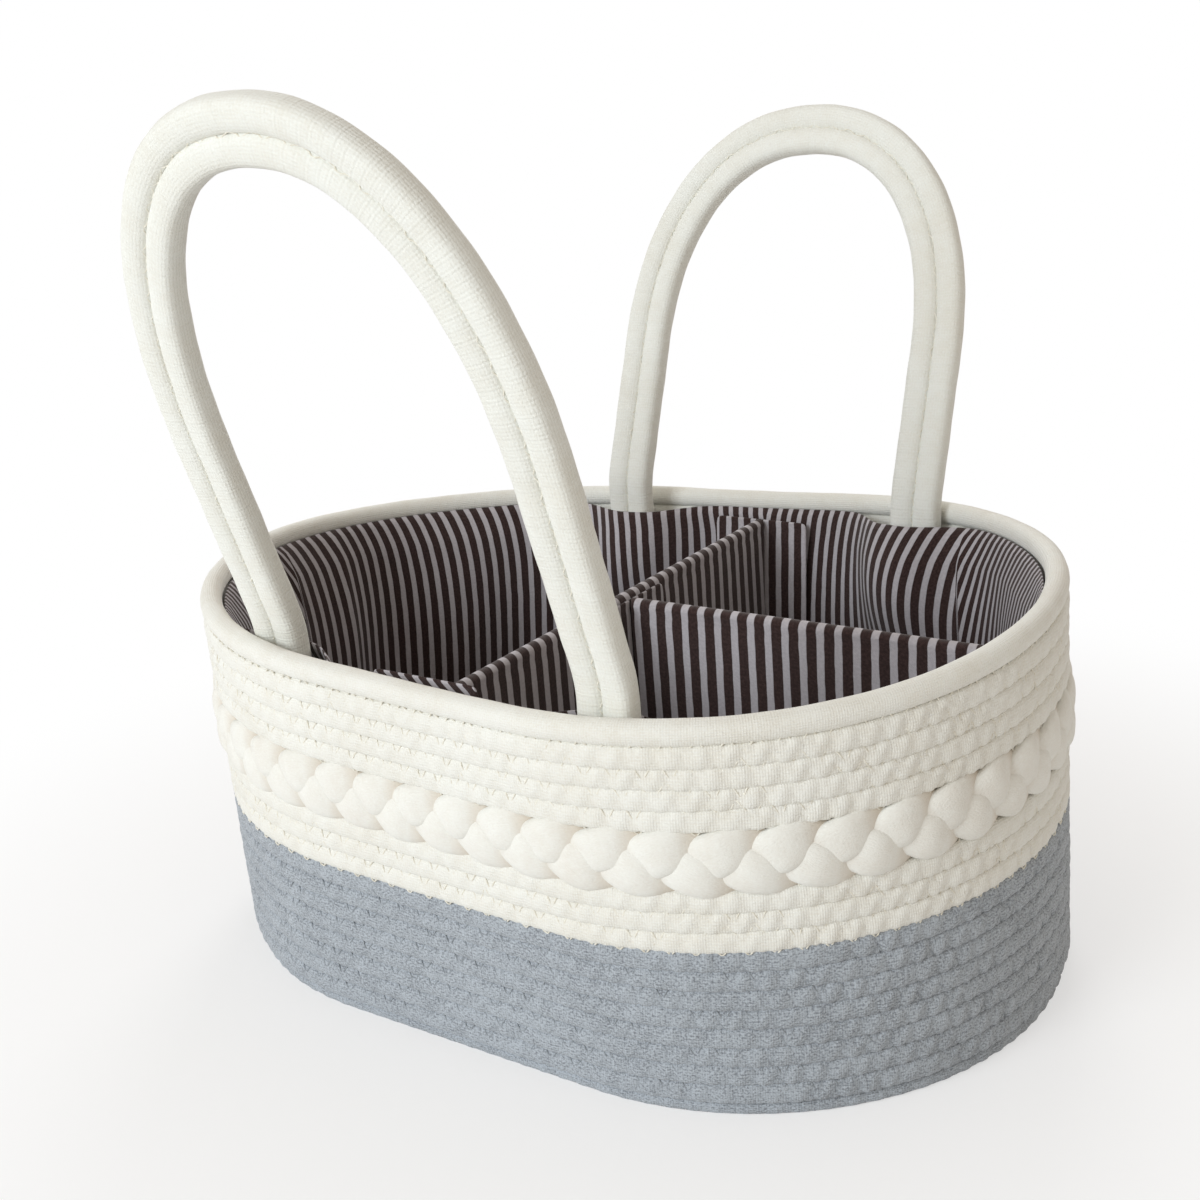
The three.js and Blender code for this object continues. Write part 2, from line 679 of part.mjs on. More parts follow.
function addLongFlaps() {
  const flap = middleBlock(jointFlapX, jointFlapX + flapThickness, flapWidth, flapBottomZ, flapTopZ);
  addMesh('long_divider_joint_flap', flap, material.lining);
  const hook = middleBlock(jointHookX, jointHookX + tapeThickness, tapeWidth, tapeBottomZ, tapeTopZ);
  addMesh('long_divider_joint_hook_tape', hook, material.hook);
  const loop = middleBlock(jointLoopX, jointLoopX + tapeThickness, tapeWidth, tapeBottomZ, tapeTopZ);
  addMesh('cross_divider_loop_tape', loop, material.loop);

  const endFlap = endStrip(flapWidth, flapBottomZ, flapTopZ, flapInset, flapThickness);
  addMesh('long_divider_end_flap', endFlap, material.lining);
  const endHook = endStrip(tapeWidth, tapeBottomZ, tapeTopZ, hookTapeInset, tapeThickness);
  addMesh('long_divider_end_hook_tape', endHook, material.hook);
  const endLoop = endStrip(tapeWidth, tapeBottomZ, tapeTopZ, loopTapeInset, tapeThickness);
  addMesh('end_wall_loop_tape', endLoop, material.loop);
}

addBaseCoil();
addWallCoil('grey_wall_coil', greyRows, greyFirstZ, material.grey);
addWallCoil('lower_cream_coil', lowerCreamRows, lowerCreamFirstZ, material.cream);
addPlait();
addWallCoil('upper_cream_coil', upperCreamRows, upperCreamFirstZ, material.cream);
addRimCord();
addHandle('front', handles.front);
addHandle('back', handles.back);
addWallLining();
addFloorLining();
addCrossDivider();
addCrossFlaps();
addLongDivider();
addLongFlaps();

export default caddy;
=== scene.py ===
"""Looks of the coiled-cord diaper caddy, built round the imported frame.

Geometry is worked out in millimetres in the frame's own axes and turned into metres when a mesh is made.
+Z is up, +X runs along the caddy towards its divided half, and the front handle is at -Y.
"""

import json
import math

import bpy
import numpy as np
from mathutils import Euler, Matrix, Vector


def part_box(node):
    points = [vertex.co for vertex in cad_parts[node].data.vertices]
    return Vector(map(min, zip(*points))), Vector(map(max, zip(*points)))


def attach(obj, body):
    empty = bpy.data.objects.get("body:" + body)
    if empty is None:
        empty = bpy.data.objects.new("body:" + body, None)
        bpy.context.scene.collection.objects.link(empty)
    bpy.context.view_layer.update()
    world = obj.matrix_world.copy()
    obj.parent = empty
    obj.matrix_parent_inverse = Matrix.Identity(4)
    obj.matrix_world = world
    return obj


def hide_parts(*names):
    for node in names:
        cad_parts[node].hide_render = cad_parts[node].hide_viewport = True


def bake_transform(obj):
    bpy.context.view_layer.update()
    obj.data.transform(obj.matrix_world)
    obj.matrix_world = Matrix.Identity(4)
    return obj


METRES_PER_MM = 0.001

# Wall, over all
RIM_LENGTH = 380.0
RIM_WIDTH = 290.0
RIM_ENDS_RISE = 3.0
RIM_TWIST = 4.5

# Coiled cord
CORD_DIAMETER = 7.5
CORD_RADIUS = CORD_DIAMETER / 2
LAY_GAP = 0.5
ROW_PITCH = 8.2
ROW_SQUEEZE = 1.16
ROW_SECTION_EXPONENT = 2.9
ROW_SECTION_ANGLES = np.radians([-90, -72, -54, -36, -18, 0, 18, 36, 54, 72, 90, 140, 220])
ROW_LUMP = 0.12
GREY_ROWS = 8
LOWER_CREAM_ROWS = 3
UPPER_CREAM_ROWS = 4
BASE_LOOPS = 16
BASE_RING_SPACING = 3.0
BASE_EDGE_INSET = 2.2
COIL_END_HEIGHT = 0.06

# Rim
RIM_CORD_DIAMETER = 9.2
RIM_SECTION_EXPONENT = 2.15
RIM_RINGS = 720

# Plait: the solids' own strands set how far in the lining lies
PLAIT_HEIGHT = 24.6
PLAIT_REPEATS = 17
PLAIT_STEPS = 48
PLAIT_PROUD = 0.4
PLAIT_TUCK = 2.6
STRAND_WIDTH = 16.5
STRAND_THICKNESS = 7.2
STRAND_WAVE = 1.9
STRAND_SECTION_EXPONENT = 2.5
SOLID_STRAND_WAVE = 3.9
SOLID_STRAND_THICKNESS = 4.4

# Zigzag seams
STITCH_REPEAT = 9.4
STEPS_PER_STITCH = 7
STEPS_PER_ZIGZAG = 12
THREAD_RADIUS = 0.3
THREAD_SIDES = 5
THREAD_SIDE_LENGTH = 0.45
THREAD_SINK = 0.56
THREAD_DIP = 0.7
THREAD_DIP_SHARE = 0.09
THREAD_PRESS = 0.52
THREAD_PRESS_WIDTH = 1.4
STITCH_HOLE_DEPTH = 0.1
STITCH_HOLE_WIDTH = 0.9
BOUNDARY_TICK = 2.9
TIGHT_SHARE = 0.68
TIGHT_REACH = 0.12
TIGHT_EXTRA = 0.9
PLAIT_SEAM_REACH = 2.0
PLAIT_SEAM_INSET = 1.4
RIM_SEAM_DROP = 1.5
RIM_SEAM_INSET = 0.45

# Handles
HANDLE_CORD_DIAMETER = 11.4
HANDLE_RADIUS = HANDLE_CORD_DIAMETER / 2
HANDLE_CORD_GAP = 0.35
HANDLE_OFFSET = (HANDLE_CORD_DIAMETER + HANDLE_CORD_GAP) / 2
HANDLE_SECTION_EXPONENT = 2.7
HANDLE_SQUEEZE = 1.14
HANDLE_RING_SPACING = 1.15
HANDLE_HALF_SPAN = 78.0
HANDLE_LEG_LENGTH = 80.0
HANDLE_ARCH_RISE = 120.0
HANDLE_ARCH_EXPONENT = 2.2
FRONT_HANDLE_LEAN = math.radians(17.5)
BACK_HANDLE_HEIGHT_SHARE = 0.88
HANDLE_TAIL_LENGTH = 32.0
HANDLE_END_TAPER = 22.0
HANDLE_BEND_REACH = 10.0
HANDLE_STITCH_SWING = 1.0
HANDLE_THREAD_SINK = 0.15

# Wall lining. Places round an end go from 0 at the back wall over 1 at the tip to 2 at the front wall.
LINING_THICKNESS = 1.2
LINING_COLUMNS = 960
LINING_LEVELS = 46
HEM_DROP = 6.8
HEM_HEIGHT = 9.0
HEM_EXTRA = 0.5
FOOT_COVER_WIDTH = 28.0
FOOT_COVER_RUN = 62.0
FOOT_COVER_OVERLAP = 8.0
TOP_SLACK = 3.5
BILLOW = 0.5
END_FOLD_DEPTH = 7.0
LEFT_END_FOLDS = 2.5
RIGHT_END_FOLDS = 2.0
FLAP_QUIET = 35.0
LEFT_CREASE = 1.11
LEFT_SECOND_CREASE = 0.94
RIGHT_CREASE = 0.35
CREASE_DEPTH = 3.5
CREASE_WIDTH = 0.05
SECOND_CREASE_DEPTH = 2.4
SECOND_CREASE_WIDTH = 0.03
LEFT_PANEL_STOP = 1.6
RIGHT_PANEL_STOP = 0.95
PANEL_SLANT = 0.8
PANEL_GATHER = 0.55
PANEL_RUN = 70.0
LEFT_RUN = 18.0
RIGHT_RUN = 38.0

# Stripes
STRIPE_REPEAT = 7.0
WALL_STRIPE_REPEAT = 6.3
DIVIDER_STRIPE_REPEAT = 7.9
PALE_SHARE = 0.42
STRIPE_BLUR = 0.025

# Dividers, flaps and tapes
COVER_THICKNESS = 6.0
COVER_CLOTH = 1.0
COVER_SPACING = 1.6
COVER_CREST = 3.0
COVER_EXTRA = 0.25
STRIP_THICKNESS = 1.2
SEAT_GAP = 0.3
STRIP_STEP = STRIP_THICKNESS + SEAT_GAP
FLAP_WIDTH = 50.0
FLAP_CORNER = 3.0
FLAP_HEM = 4.0
TAPE_WIDTH = 40.0
TAPE_CORNER = 1.5
FRONT_FLAP_RISE = 9.5

# Camera, solved from the photograph: its frame is 1200 pixels wide and high
PHOTO_SIZE = 1200
CAMERA_AZIMUTH = math.radians(35.38)
CAMERA_ELEVATION = math.radians(18.14)
CAMERA_ROLL = math.radians(-4.57)
CAMERA_DISTANCE = 699.2
CAMERA_TARGET_RIGHT = -7.84
CAMERA_TARGET_HEIGHT = 148.81
FOCAL_PIXELS = 1613.86
SENSOR_WIDTH = 36.0

# Room
WORLD_COLOUR = (1.0, 0.905, 0.8, 1)
WORLD_STRENGTH = 0.515
FLOOR_GLOW = 0.55
FLOOR_REACH = 6.0

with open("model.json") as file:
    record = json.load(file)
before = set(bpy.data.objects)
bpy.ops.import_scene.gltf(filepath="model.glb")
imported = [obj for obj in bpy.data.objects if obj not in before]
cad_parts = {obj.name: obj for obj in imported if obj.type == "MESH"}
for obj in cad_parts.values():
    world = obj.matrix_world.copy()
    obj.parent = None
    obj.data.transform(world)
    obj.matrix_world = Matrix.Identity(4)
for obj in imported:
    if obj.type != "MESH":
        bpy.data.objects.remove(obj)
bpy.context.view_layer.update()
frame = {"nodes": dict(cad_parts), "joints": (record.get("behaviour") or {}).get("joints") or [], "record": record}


def box_of(node):
    """The low and the high corner of a solid, in millimetres."""
    return [np.array(corner) / METRES_PER_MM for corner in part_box(node)]


def joint_place(name):
    found = next(joint for joint in frame["joints"] if joint["name"] == name)
    return np.array(found["pos_m"]) / METRES_PER_MM


base_low, base_high = box_of("base_coil")
BASE_LENGTH, BASE_WIDTH, BASE_TOP_Z = base_high - base_low * [1, 1, 0]

# Heights from the floor up, as the solids have them
GREY_FIRST_Z = BASE_TOP_Z + LAY_GAP + CORD_RADIUS
LOWER_FIRST_Z = GREY_FIRST_Z + GREY_ROWS * ROW_PITCH
LOWER_LAST_Z = LOWER_FIRST_Z + (LOWER_CREAM_ROWS - 1) * ROW_PITCH
PLAIT_BOTTOM_Z = LOWER_LAST_Z + CORD_RADIUS + LAY_GAP
PLAIT_TOP_Z = PLAIT_BOTTOM_Z + PLAIT_HEIGHT
UPPER_FIRST_Z = PLAIT_TOP_Z + LAY_GAP + CORD_RADIUS
UPPER_LAST_Z = UPPER_FIRST_Z + (UPPER_CREAM_ROWS - 1) * ROW_PITCH
RIM_CENTRE_Z = UPPER_LAST_Z + CORD_RADIUS + LAY_GAP + RIM_CORD_DIAMETER / 2
RIM_TOP_Z = RIM_CENTRE_Z + RIM_CORD_DIAMETER / 2
HEM_TOP_Z = RIM_TOP_Z - HEM_DROP
LINING_BOTTOM_Z = box_of("wall_lining")[0][2]
DIVIDER_BOTTOM_Z, DIVIDER_TOP_Z = (corner[2] for corner in box_of("cross_divider_cover"))

PLAIT_HALF_THICKNESS = SOLID_STRAND_WAVE * math.sin(math.pi / 3) + SOLID_STRAND_THICKNESS / 2
LINING_INSET = CORD_RADIUS + PLAIT_HALF_THICKNESS + LAY_GAP

# Shapes

UP = np.array([[0.0, 0.0, 1.0]])


def joined(*parts):
    """Coordinates side by side, spread to one shape."""
    return np.stack(np.broadcast_arrays(*parts), -1)


def smooth_step(value, low=0.0, high=1.0):
    share = np.clip((value - low) / (high - low), 0, 1)
    return share * share * (3 - 2 * share)


def bell(value, width):
    return np.exp(-((value / width) ** 2))


def outline_at(z):
    """Half length of the straight sides and end radius of the wall's outer face at a height."""
    share = z / RIM_TOP_Z
    length = BASE_LENGTH + (RIM_LENGTH - BASE_LENGTH) * share
    width = BASE_WIDTH + (RIM_WIDTH - BASE_WIDTH) * share
    return (length - width) / 2, width / 2


MID_STRAIGHT, MID_RADIUS = outline_at(RIM_TOP_Z / 2)
LOOP_LENGTH = 4 * MID_STRAIGHT + math.tau * MID_RADIUS
STEP_SHARE = MID_STRAIGHT / LOOP_LENGTH


def oval(share, straight, radius):
    """Points of an oval and its outward ways, at shares of the way round from the middle of the back."""
    along = np.mod(share, 1.0) * LOOP_LENGTH
    arc = math.pi * MID_RADIUS
    marks = np.cumsum([MID_STRAIGHT, arc, 2 * MID_STRAIGHT, arc])
    zone = [along < mark for mark in marks]
    left = math.pi / 2 + (along - marks[0]) / MID_RADIUS
    right = -math.pi / 2 + (along - marks[2]) / MID_RADIUS
    angle = np.select(zone, [math.pi / 2, left, -math.pi / 2, right], math.pi / 2)
    front = (along - marks[1]) / MID_STRAIGHT - 1
    middle = np.select(zone, [-along / MID_STRAIGHT, -1, front, 1], 1 - (along - marks[3]) / MID_STRAIGHT)
    out = joined(np.cos(angle), np.sin(angle))
    points = np.asarray(radius)[..., None] * out
    points[..., 0] += straight * middle
    return points, out


def with_z(flat, z):
    return joined(flat[..., 0], flat[..., 1], z)


def rim_wave(x, y, z):
    angle = np.arctan2(y / RIM_WIDTH, x / RIM_LENGTH)
    share = np.maximum(z - BASE_TOP_Z, 0) / (RIM_TOP_Z - BASE_TOP_Z)
    return share * (RIM_ENDS_RISE * np.cos(2 * angle) + RIM_TWIST * np.sin(2 * angle))


def wall(share, z, inset):
    """Points at an inset from the wall's outer face, and the outward directions there."""
    share, z, inset = np.broadcast_arrays(share, z, inset)
    straight, radius = outline_at(z)
    flat, out = oval(share, straight, radius - inset)
    return with_z(flat, z + rim_wave(flat[..., 0], flat[..., 1], z)), with_z(out, 0.0)


def unit(vectors):
    return vectors / np.linalg.norm(vectors, axis=-1, keepdims=True)


def ways(points):
    """Unit directions along a line of points."""
    return unit(np.gradient(points, axis=0))


def distances(points):
    """Distance along a line of points, at each of them."""
    return np.r_[0, np.cumsum(np.linalg.norm(np.diff(points, axis=0), axis=1))]


def round_distances(ring):
    """Distance along a closed line, at each point and back at the first."""
    return distances(np.r_[ring, ring[:1]])


def signed_power(values, power):
    return np.sign(values) * np.abs(values) ** power


def superellipse(angles, exponent):
    return signed_power(joined(np.cos(angles), np.sin(angles)), 2 / exponent)


def round_section(sides, exponent, start=0.0):
    return superellipse(start + math.tau * np.arange(sides) / sides, exponent)


def tube(centres, across, up, half_across, half_up, section):
    """Points of a tube: one ring of section points round each centre."""
    a = np.broadcast_to(half_across, len(centres))[:, None] * section[:, 0]
    b = np.broadcast_to(half_up, len(centres))[:, None] * section[:, 1]
    return centres[:, None] + a[..., None] * across[:, None] + b[..., None] * up[:, None]


# Meshes


def add_object(name, data):
    thing = bpy.data.objects.new(name, data)
    bpy.context.scene.collection.objects.link(thing)
    return thing


def new_piece(name, points, faces, uvs, shade=None):
    """A smooth mesh from points, faces as lists of arrays, and a UV pair per face corner."""
    mesh = bpy.data.meshes.new(name)
    sizes = np.concatenate([np.full(len(group), group.shape[1]) for group in faces])
    corners = np.concatenate([group.ravel() for group in faces])
    mesh.vertices.add(len(points))
    mesh.vertices.foreach_set("co", (points * METRES_PER_MM).astype(np.float32).ravel())
    mesh.loops.add(len(corners))
    mesh.loops.foreach_set("vertex_index", corners.astype(np.int32))
    mesh.polygons.add(len(sizes))
    mesh.polygons.foreach_set("loop_start", (np.cumsum(sizes) - sizes).astype(np.int32))
    mesh.polygons.foreach_set("use_smooth", np.ones(len(sizes), bool))
    layer = mesh.uv_layers.new(name="UVMap")
    flat = np.concatenate([group.reshape(-1, 2) for group in uvs]) * METRES_PER_MM
    layer.data.foreach_set("uv", flat.astype(np.float32).ravel())
    # shade holds painted shade per point, which the cord looks darken by.
    if shade is not None:
        attribute = mesh.attributes.new("shade", "FLOAT", "POINT")
        attribute.data.foreach_set("value", shade.astype(np.float32).ravel())
    mesh.update(calc_edges=True)
    mesh.validate()
    return add_object(name, mesh)


def grid_faces(rows, columns, row_closed, column_closed):
    """Quads of a grid, as vertex numbers and as rows and columns that run on past a closed seam."""
    last_row = rows if row_closed else rows - 1
    last_column = columns if column_closed else columns - 1
    i, j = np.meshgrid(np.arange(last_row), np.arange(last_column), indexing="ij")
    i, j = i.ravel(), j.ravel()
    quad_rows = joined(i + 1, i + 1, i, i)
    quad_columns = joined(j, j + 1, j + 1, j)
    return (quad_rows % rows) * columns + quad_columns % columns, quad_rows, quad_columns


def grid_piece(name, grid, uv, closed=False, shade=None, uv_before=None):
    """A mesh of rings of points, with one more row or column of UV pairs past each closed seam.

    uv_before has the pairs just before each row, where the cloth is pieced and they differ.
    """
    rows, columns = grid.shape[:2]
    quads, quad_rows, quad_columns = grid_faces(rows, columns, closed, True)
    pairs = uv[quad_rows, quad_columns]
    if uv_before is not None:
        later = quad_rows > quad_rows.min(axis=1, keepdims=True)
        pairs[later] = uv_before[quad_rows[later], quad_columns[later]]
    faces, uvs = [quads], [pairs]
    if not closed:
        order = np.arange(columns)
        for end, turned in ((0, order), (rows - 1, order[::-1])):
            faces.append(end * columns + turned[None])
            uvs.append(uv[end, turned][None])
    return new_piece(name, grid.reshape(-1, 3), faces, uvs, shade)


def tube_piece(name, grid, along, around, closed=False, shade=None):
    """A mesh of one tube. along has a distance for each ring, and one more where the tube is closed."""
    return grid_piece(name, grid, joined(along[:, None], around), closed, shade)


def thread_piece(name, points, out, along):
    """A sewing thread along a line of points."""
    way = ways(points)
    across = unit(np.cross(way, out))
    section = round_section(THREAD_SIDES, 2)
    grid = tube(points, across, np.cross(across, way), THREAD_RADIUS, THREAD_RADIUS, section)
    return tube_piece(name, grid, along, np.arange(THREAD_SIDES + 1) * THREAD_SIDE_LENGTH)


def finish_piece(piece, look, body, *nodes, slot=None):
    piece.data.materials.append(looks[look])
    if body:
        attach(piece, body)
    if nodes:
        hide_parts(*nodes)


# Materials


def linear(colour):
    """A colour given as the photograph's 0 to 255 values, in linear light."""
    values = np.array(colour) / 255
    parts = np.where(values <= 0.04045, values / 12.92, ((values + 0.055) / 1.055) ** 2.4)
    return [*parts.tolist(), 1.0]


def tinted(colour, factor, offset=0.0):
    return [min(1.0, factor * part + offset) for part in colour[:3]] + [1.0]


class Nodes:
    """A few short calls for building the nodes of a material or of the world."""

    def __init__(self, owner):
        self.owner = owner
        owner.use_nodes = True
        self.tree = owner.node_tree
        self.shader = self.tree.nodes.get("Principled BSDF")

    def add(self, kind, values=None, **settings):
        node = self.tree.nodes.new(kind)
        for key, value in settings.items():
            setattr(node, key, value)
        for key, value in (values or {}).items():
            self.set(node.inputs[key], value)
        return node

    def set(self, socket, value):
        if isinstance(value, bpy.types.NodeSocket):
            self.tree.links.new(value, socket)
        else:
            socket.default_value = value

    def math(self, operation, a, b=0.0, c=0.0):
        return self.add("ShaderNodeMath", {0: a, 1: b, 2: c}, operation=operation).outputs[0]

    def total(self, *terms):
        """The sum of values that are each given with a weight."""
        result = 0.0
        for value, weight in terms:
            result = self.math("MULTIPLY_ADD", value, weight, result)
        return result

    def wave(self, value, rate):
        return self.math("SINE", self.math("MULTIPLY", value, rate))

    def mix(self, share, a, b):
        """A mix of two colours, by the numbers of the node's colour sockets."""
        return self.add("ShaderNodeMix", {0: share, 6: a, 7: b}, data_type="RGBA").outputs[2]

    def ramp(self, value, low, high, first=0.0, last=1.0):
        """A smooth step from first to last while a value goes from low to high."""
        values = {"Value": value, "From Min": low, "From Max": high, "To Min": first, "To Max": last}
        return self.add("ShaderNodeMapRange", values, interpolation_type="SMOOTHSTEP").outputs[0]

    def place(self):
        return self.add("ShaderNodeTexCoord").outputs["Object"]

    def uv(self):
        return self.add("ShaderNodeUVMap", uv_map="UVMap").outputs[0]

    def uv_parts(self):
        return self.add("ShaderNodeSeparateXYZ", {"Vector": self.uv()}).outputs[:2]

    def noise(self, scale, detail=2.0, roughness=0.5, vector=None):
        """Noise in the object's own space, or in another one."""
        if vector is None:
            vector = self.place()
        values = {"Vector": vector, "Scale": scale, "Detail": detail, "Roughness": roughness}
        return self.add("ShaderNodeTexNoise", values).outputs["Fac"]

    def grain(self, along_u, along_v, detail=2.0, roughness=0.5):
        """Noise that is as fine along U and along V as the two numbers say."""
        values = {"Vector": self.uv(), "Scale": (along_u, along_v, 1)}
        return self.noise(1.0, detail, roughness, self.add("ShaderNodeMapping", values).outputs[0])

    def surface(self, **values):
        for key, value in values.items():
            self.set(self.shader.inputs[key.replace("_", " ")], value)

    def cloth(self, colour, roughness, sheen, height, distance, strength=0.6):
        values = {"Height": height, "Distance": distance, "Strength": strength}
        bump = self.add("ShaderNodeBump", values).outputs[0]
        self.surface(Base_Color=colour, Roughness=roughness, Sheen_Weight=sheen, Normal=bump)
        self.surface(Sheen_Roughness=0.6, Specular_IOR_Level=0.15)
        return self.owner

    def mix_surface(self, output, share, first, second):
        mix = self.add("ShaderNodeMixShader", {0: share, 1: first.outputs[0], 2: second.outputs[0]})
        self.set(self.tree.nodes[output].inputs["Surface"], mix.outputs[0])


def cotton_cord(name, colour, crease, braid=3300, weaving=0.3, mottle=0.5, clouds=0.3, fleck=0.55, ribs=0):
    """Cord in a fine braided cotton sleeve, mottled, with painted shade where its shade attribute marks seam
    dents, stitch holes and plait strands passing under.

    braid is how fine the braid is, weaving how deep, and ribs the spacing of ribs across the cord in mm.
    """
    n = Nodes(bpy.data.materials.new(name))
    # crease is the second colour: the darker flecks, and the painted shade where the shade attribute is set.
    colour, crease = linear(colour), linear(crease)
    along, around = n.uv_parts()
    rising = n.wave(n.math("ADD", along, around), braid)
    falling = n.wave(n.math("SUBTRACT", along, around), braid)
    weave = n.math("MULTIPLY", rising, falling)
    fibre = n.grain(900, 1700, 3.0, 0.65)
    lumps = n.noise(140.0)
    tone = n.total((fibre, mottle), (n.noise(22.0), clouds), (lumps, 0.25), (weave, 0.2 * weaving))
    middle = 0.075 + (mottle + clouds) / 2
    body = n.mix(n.ramp(tone, middle - 0.225, middle + 0.225, fleck, 0.0), colour, crease)
    # Painted shade: the shade attribute darkens the colour towards crease.
    shade = n.add("ShaderNodeAttribute", attribute_name="shade").outputs["Fac"]
    shaded = n.mix(n.math("MULTIPLY", shade, 0.75), body, crease)
    heights = [(weave, weaving), (fibre, 1.0), (lumps, 0.8)]
    if ribs:
        rib = n.total((along, math.tau / (ribs * METRES_PER_MM)), (n.noise(300.0, 1.0), 3.0))
        heights.append((n.math("SINE", rib), 0.09))
    return n.cloth(shaded, 0.92, 0.25, n.total(*heights), 0.0005)


def striped_cotton(name, dark, pale):
    """Woven cotton with dark and white stripes along V, slightly uneven at their edges."""
    n = Nodes(bpy.data.materials.new(name))
    dark, pale = linear(dark), linear(pale)
    across, along = n.uv_parts()
    place = n.total((across, 1 / (STRIPE_REPEAT * METRES_PER_MM)), (n.grain(300, 90), 0.10))
    distance = n.math("ABSOLUTE", n.math("SUBTRACT", n.math("FRACT", place), 0.5))
    stripe = n.ramp(distance, PALE_SHARE / 2 - STRIPE_BLUR, PALE_SHARE / 2 + STRIPE_BLUR)
    weave = n.math("MULTIPLY", n.wave(along, 9000.0), n.wave(across, 9000.0))
    fleck = n.grain(900, 900)
    dark_tone = n.mix(n.ramp(fleck, 0.3, 0.8), dark, tinted(dark, 1.9, 0.01))
    pale_tone = n.mix(n.ramp(fleck, 0.25, 0.75), tinted(pale, 0.86), pale)
    height = n.total((weave, 0.35), (fleck, 1.0))
    return n.cloth(n.mix(stripe, pale_tone, dark_tone), 0.9, 0.15, height, 0.0003, 0.45)


def plain_fibre(name, colour, dark, scale, distance):
    """A plain textile or board surface with fine grain."""
    n = Nodes(bpy.data.materials.new(name))
    grain = n.noise(scale, 4.0, 0.6)
    tone = n.total((grain, 0.7), (n.noise(30.0), 0.3))
    return n.cloth(n.mix(n.ramp(tone, 0.3, 0.7), linear(dark), linear(colour)), 0.9, 0.1, grain, distance)


# Each cord look has its colour and a second, darker one. The handle's second colour is for flecks only. The
# others' is also for painted shade in seam dents, stitch holes and where plait strands pass under.
CREAM = (240, 241, 236)
CREAM_FLECK_AND_SHADE = (214, 206, 188)
STRAND_FLECK_AND_SHADE = (194, 174, 148)
GREY = (182, 190, 198)
GREY_FLECK_AND_SHADE = (116, 121, 128)
HANDLE = (237, 239, 234)
HANDLE_CREASE = (216, 210, 194)

looks = {
    "grey_cord": cotton_cord("grey_cotton_cord", GREY, GREY_FLECK_AND_SHADE, mottle=1.4, fleck=0.95, clouds=0.1),
    "cream_cord": cotton_cord("cream_cotton_cord", CREAM, CREAM_FLECK_AND_SHADE),
    "strand": cotton_cord("cream_soft_strand", CREAM, STRAND_FLECK_AND_SHADE, weaving=0.04, mottle=0.35, fleck=0.33),
    "handle_cord": cotton_cord("handle_cotton_cord", HANDLE, HANDLE_CREASE, 2420, weaving=0.2, ribs=1.9),
    "grey_thread": plain_fibre("grey_thread", (168, 175, 181), (132, 138, 144), 900, 0.0002),
    "cream_thread": plain_fibre("cream_thread", (243, 241, 231), (218, 213, 198), 900, 0.0002),
    "striped_cloth": striped_cotton("striped_cotton", (42, 26, 24), (190, 186, 191)),
    "board": plain_fibre("stiff_board", (214, 207, 192), (186, 178, 162), 500, 0.0001),
    "hook_tape": plain_fibre("hook_tape", (228, 226, 218), (180, 178, 170), 1600, 0.0006),
    "loop_tape": plain_fibre("loop_tape", (220, 217, 208), (176, 172, 163), 1100, 0.0007),
}

# Coiled rows


def stepped(share):
    """How far a row has stepped over to the next, in the last stretch of a loop."""
    return smooth_step(share, 1 - STEP_SHARE, 1)


def coil_layers(turns, rows):
    """Layer, and height as a share of a whole row, at places along a coil."""
    whole = np.floor(turns)
    step = stepped(turns - whole)
    zone = [turns < 0, whole == rows - 1]
    layer = np.select(zone, [(step - 1) / 2, whole + step / 2], whole + step)
    height = np.select(zone, [step, 1 - step], 1.0)
    return layer, np.maximum(height, COIL_END_HEIGHT)


def stitch_count(along):
    """Stitches sewn up to a distance, a little uneven as in hand-guided sewing."""
    return along / STITCH_REPEAT + 0.14 * np.sin(along / 29.0) + 0.07 * np.sin(along / 11.3 + 1)


def zigzag(count):
    """Height share of a thread after a count of stitches: up and down once in each."""
    return 1 - np.abs(1 - 2 * np.mod(count, 1))


def thread_dip(height):
    """How deep a thread goes into its holes, at both edges of the zigzag."""
    return THREAD_DIP * (bell(height, THREAD_DIP_SHARE) + bell(1 - height, THREAD_DIP_SHARE))


def seam_distance(along, height):
    """Distance from the nearest zig or zag of a seam, at a share of its height."""
    places = [stitch_count(along) - height / 2, stitch_count(along) + height / 2]
    return np.min([np.abs(place - np.round(place)) for place in places], axis=0) * STITCH_REPEAT


def tightness(along):
    """The sewing is pulled tighter round the right end, where its cells show."""
    return 1 + TIGHT_EXTRA * bell(np.mod(along / LOOP_LENGTH, 1) - TIGHT_SHARE, TIGHT_REACH)


def seam_press(along, rise):
    """How deep the seams press a row, and the painted shade of those dents and stitch holes, at distances along it
    and at rises from -1 to 1.
    """
    along = along[:, None]
    above = seam_distance(along, np.maximum(rise, 0) / 2)
    below = seam_distance(along - LOOP_LENGTH, 1 + np.minimum(rise, 0) / 2)
    thread = bell(np.where(rise > 0, above, below), THREAD_PRESS_WIDTH)
    beside = np.minimum(seam_distance(along, 0), seam_distance(along - LOOP_LENGTH, 1))
    hole = bell(np.hypot(beside, rise * ROW_PITCH / 2), STITCH_HOLE_WIDTH)
    uneven = 0.86 + 0.24 * np.sin(along / 7.7 + 2 * np.sin(along / 43.0))
    pull = uneven * tightness(along)
    # The second value is painted shade: darker where the threads press and in the stitch holes.
    return (THREAD_PRESS * thread + STITCH_HOLE_DEPTH * hole) * pull, (0.1 * thread + 0.05 * hole) * pull


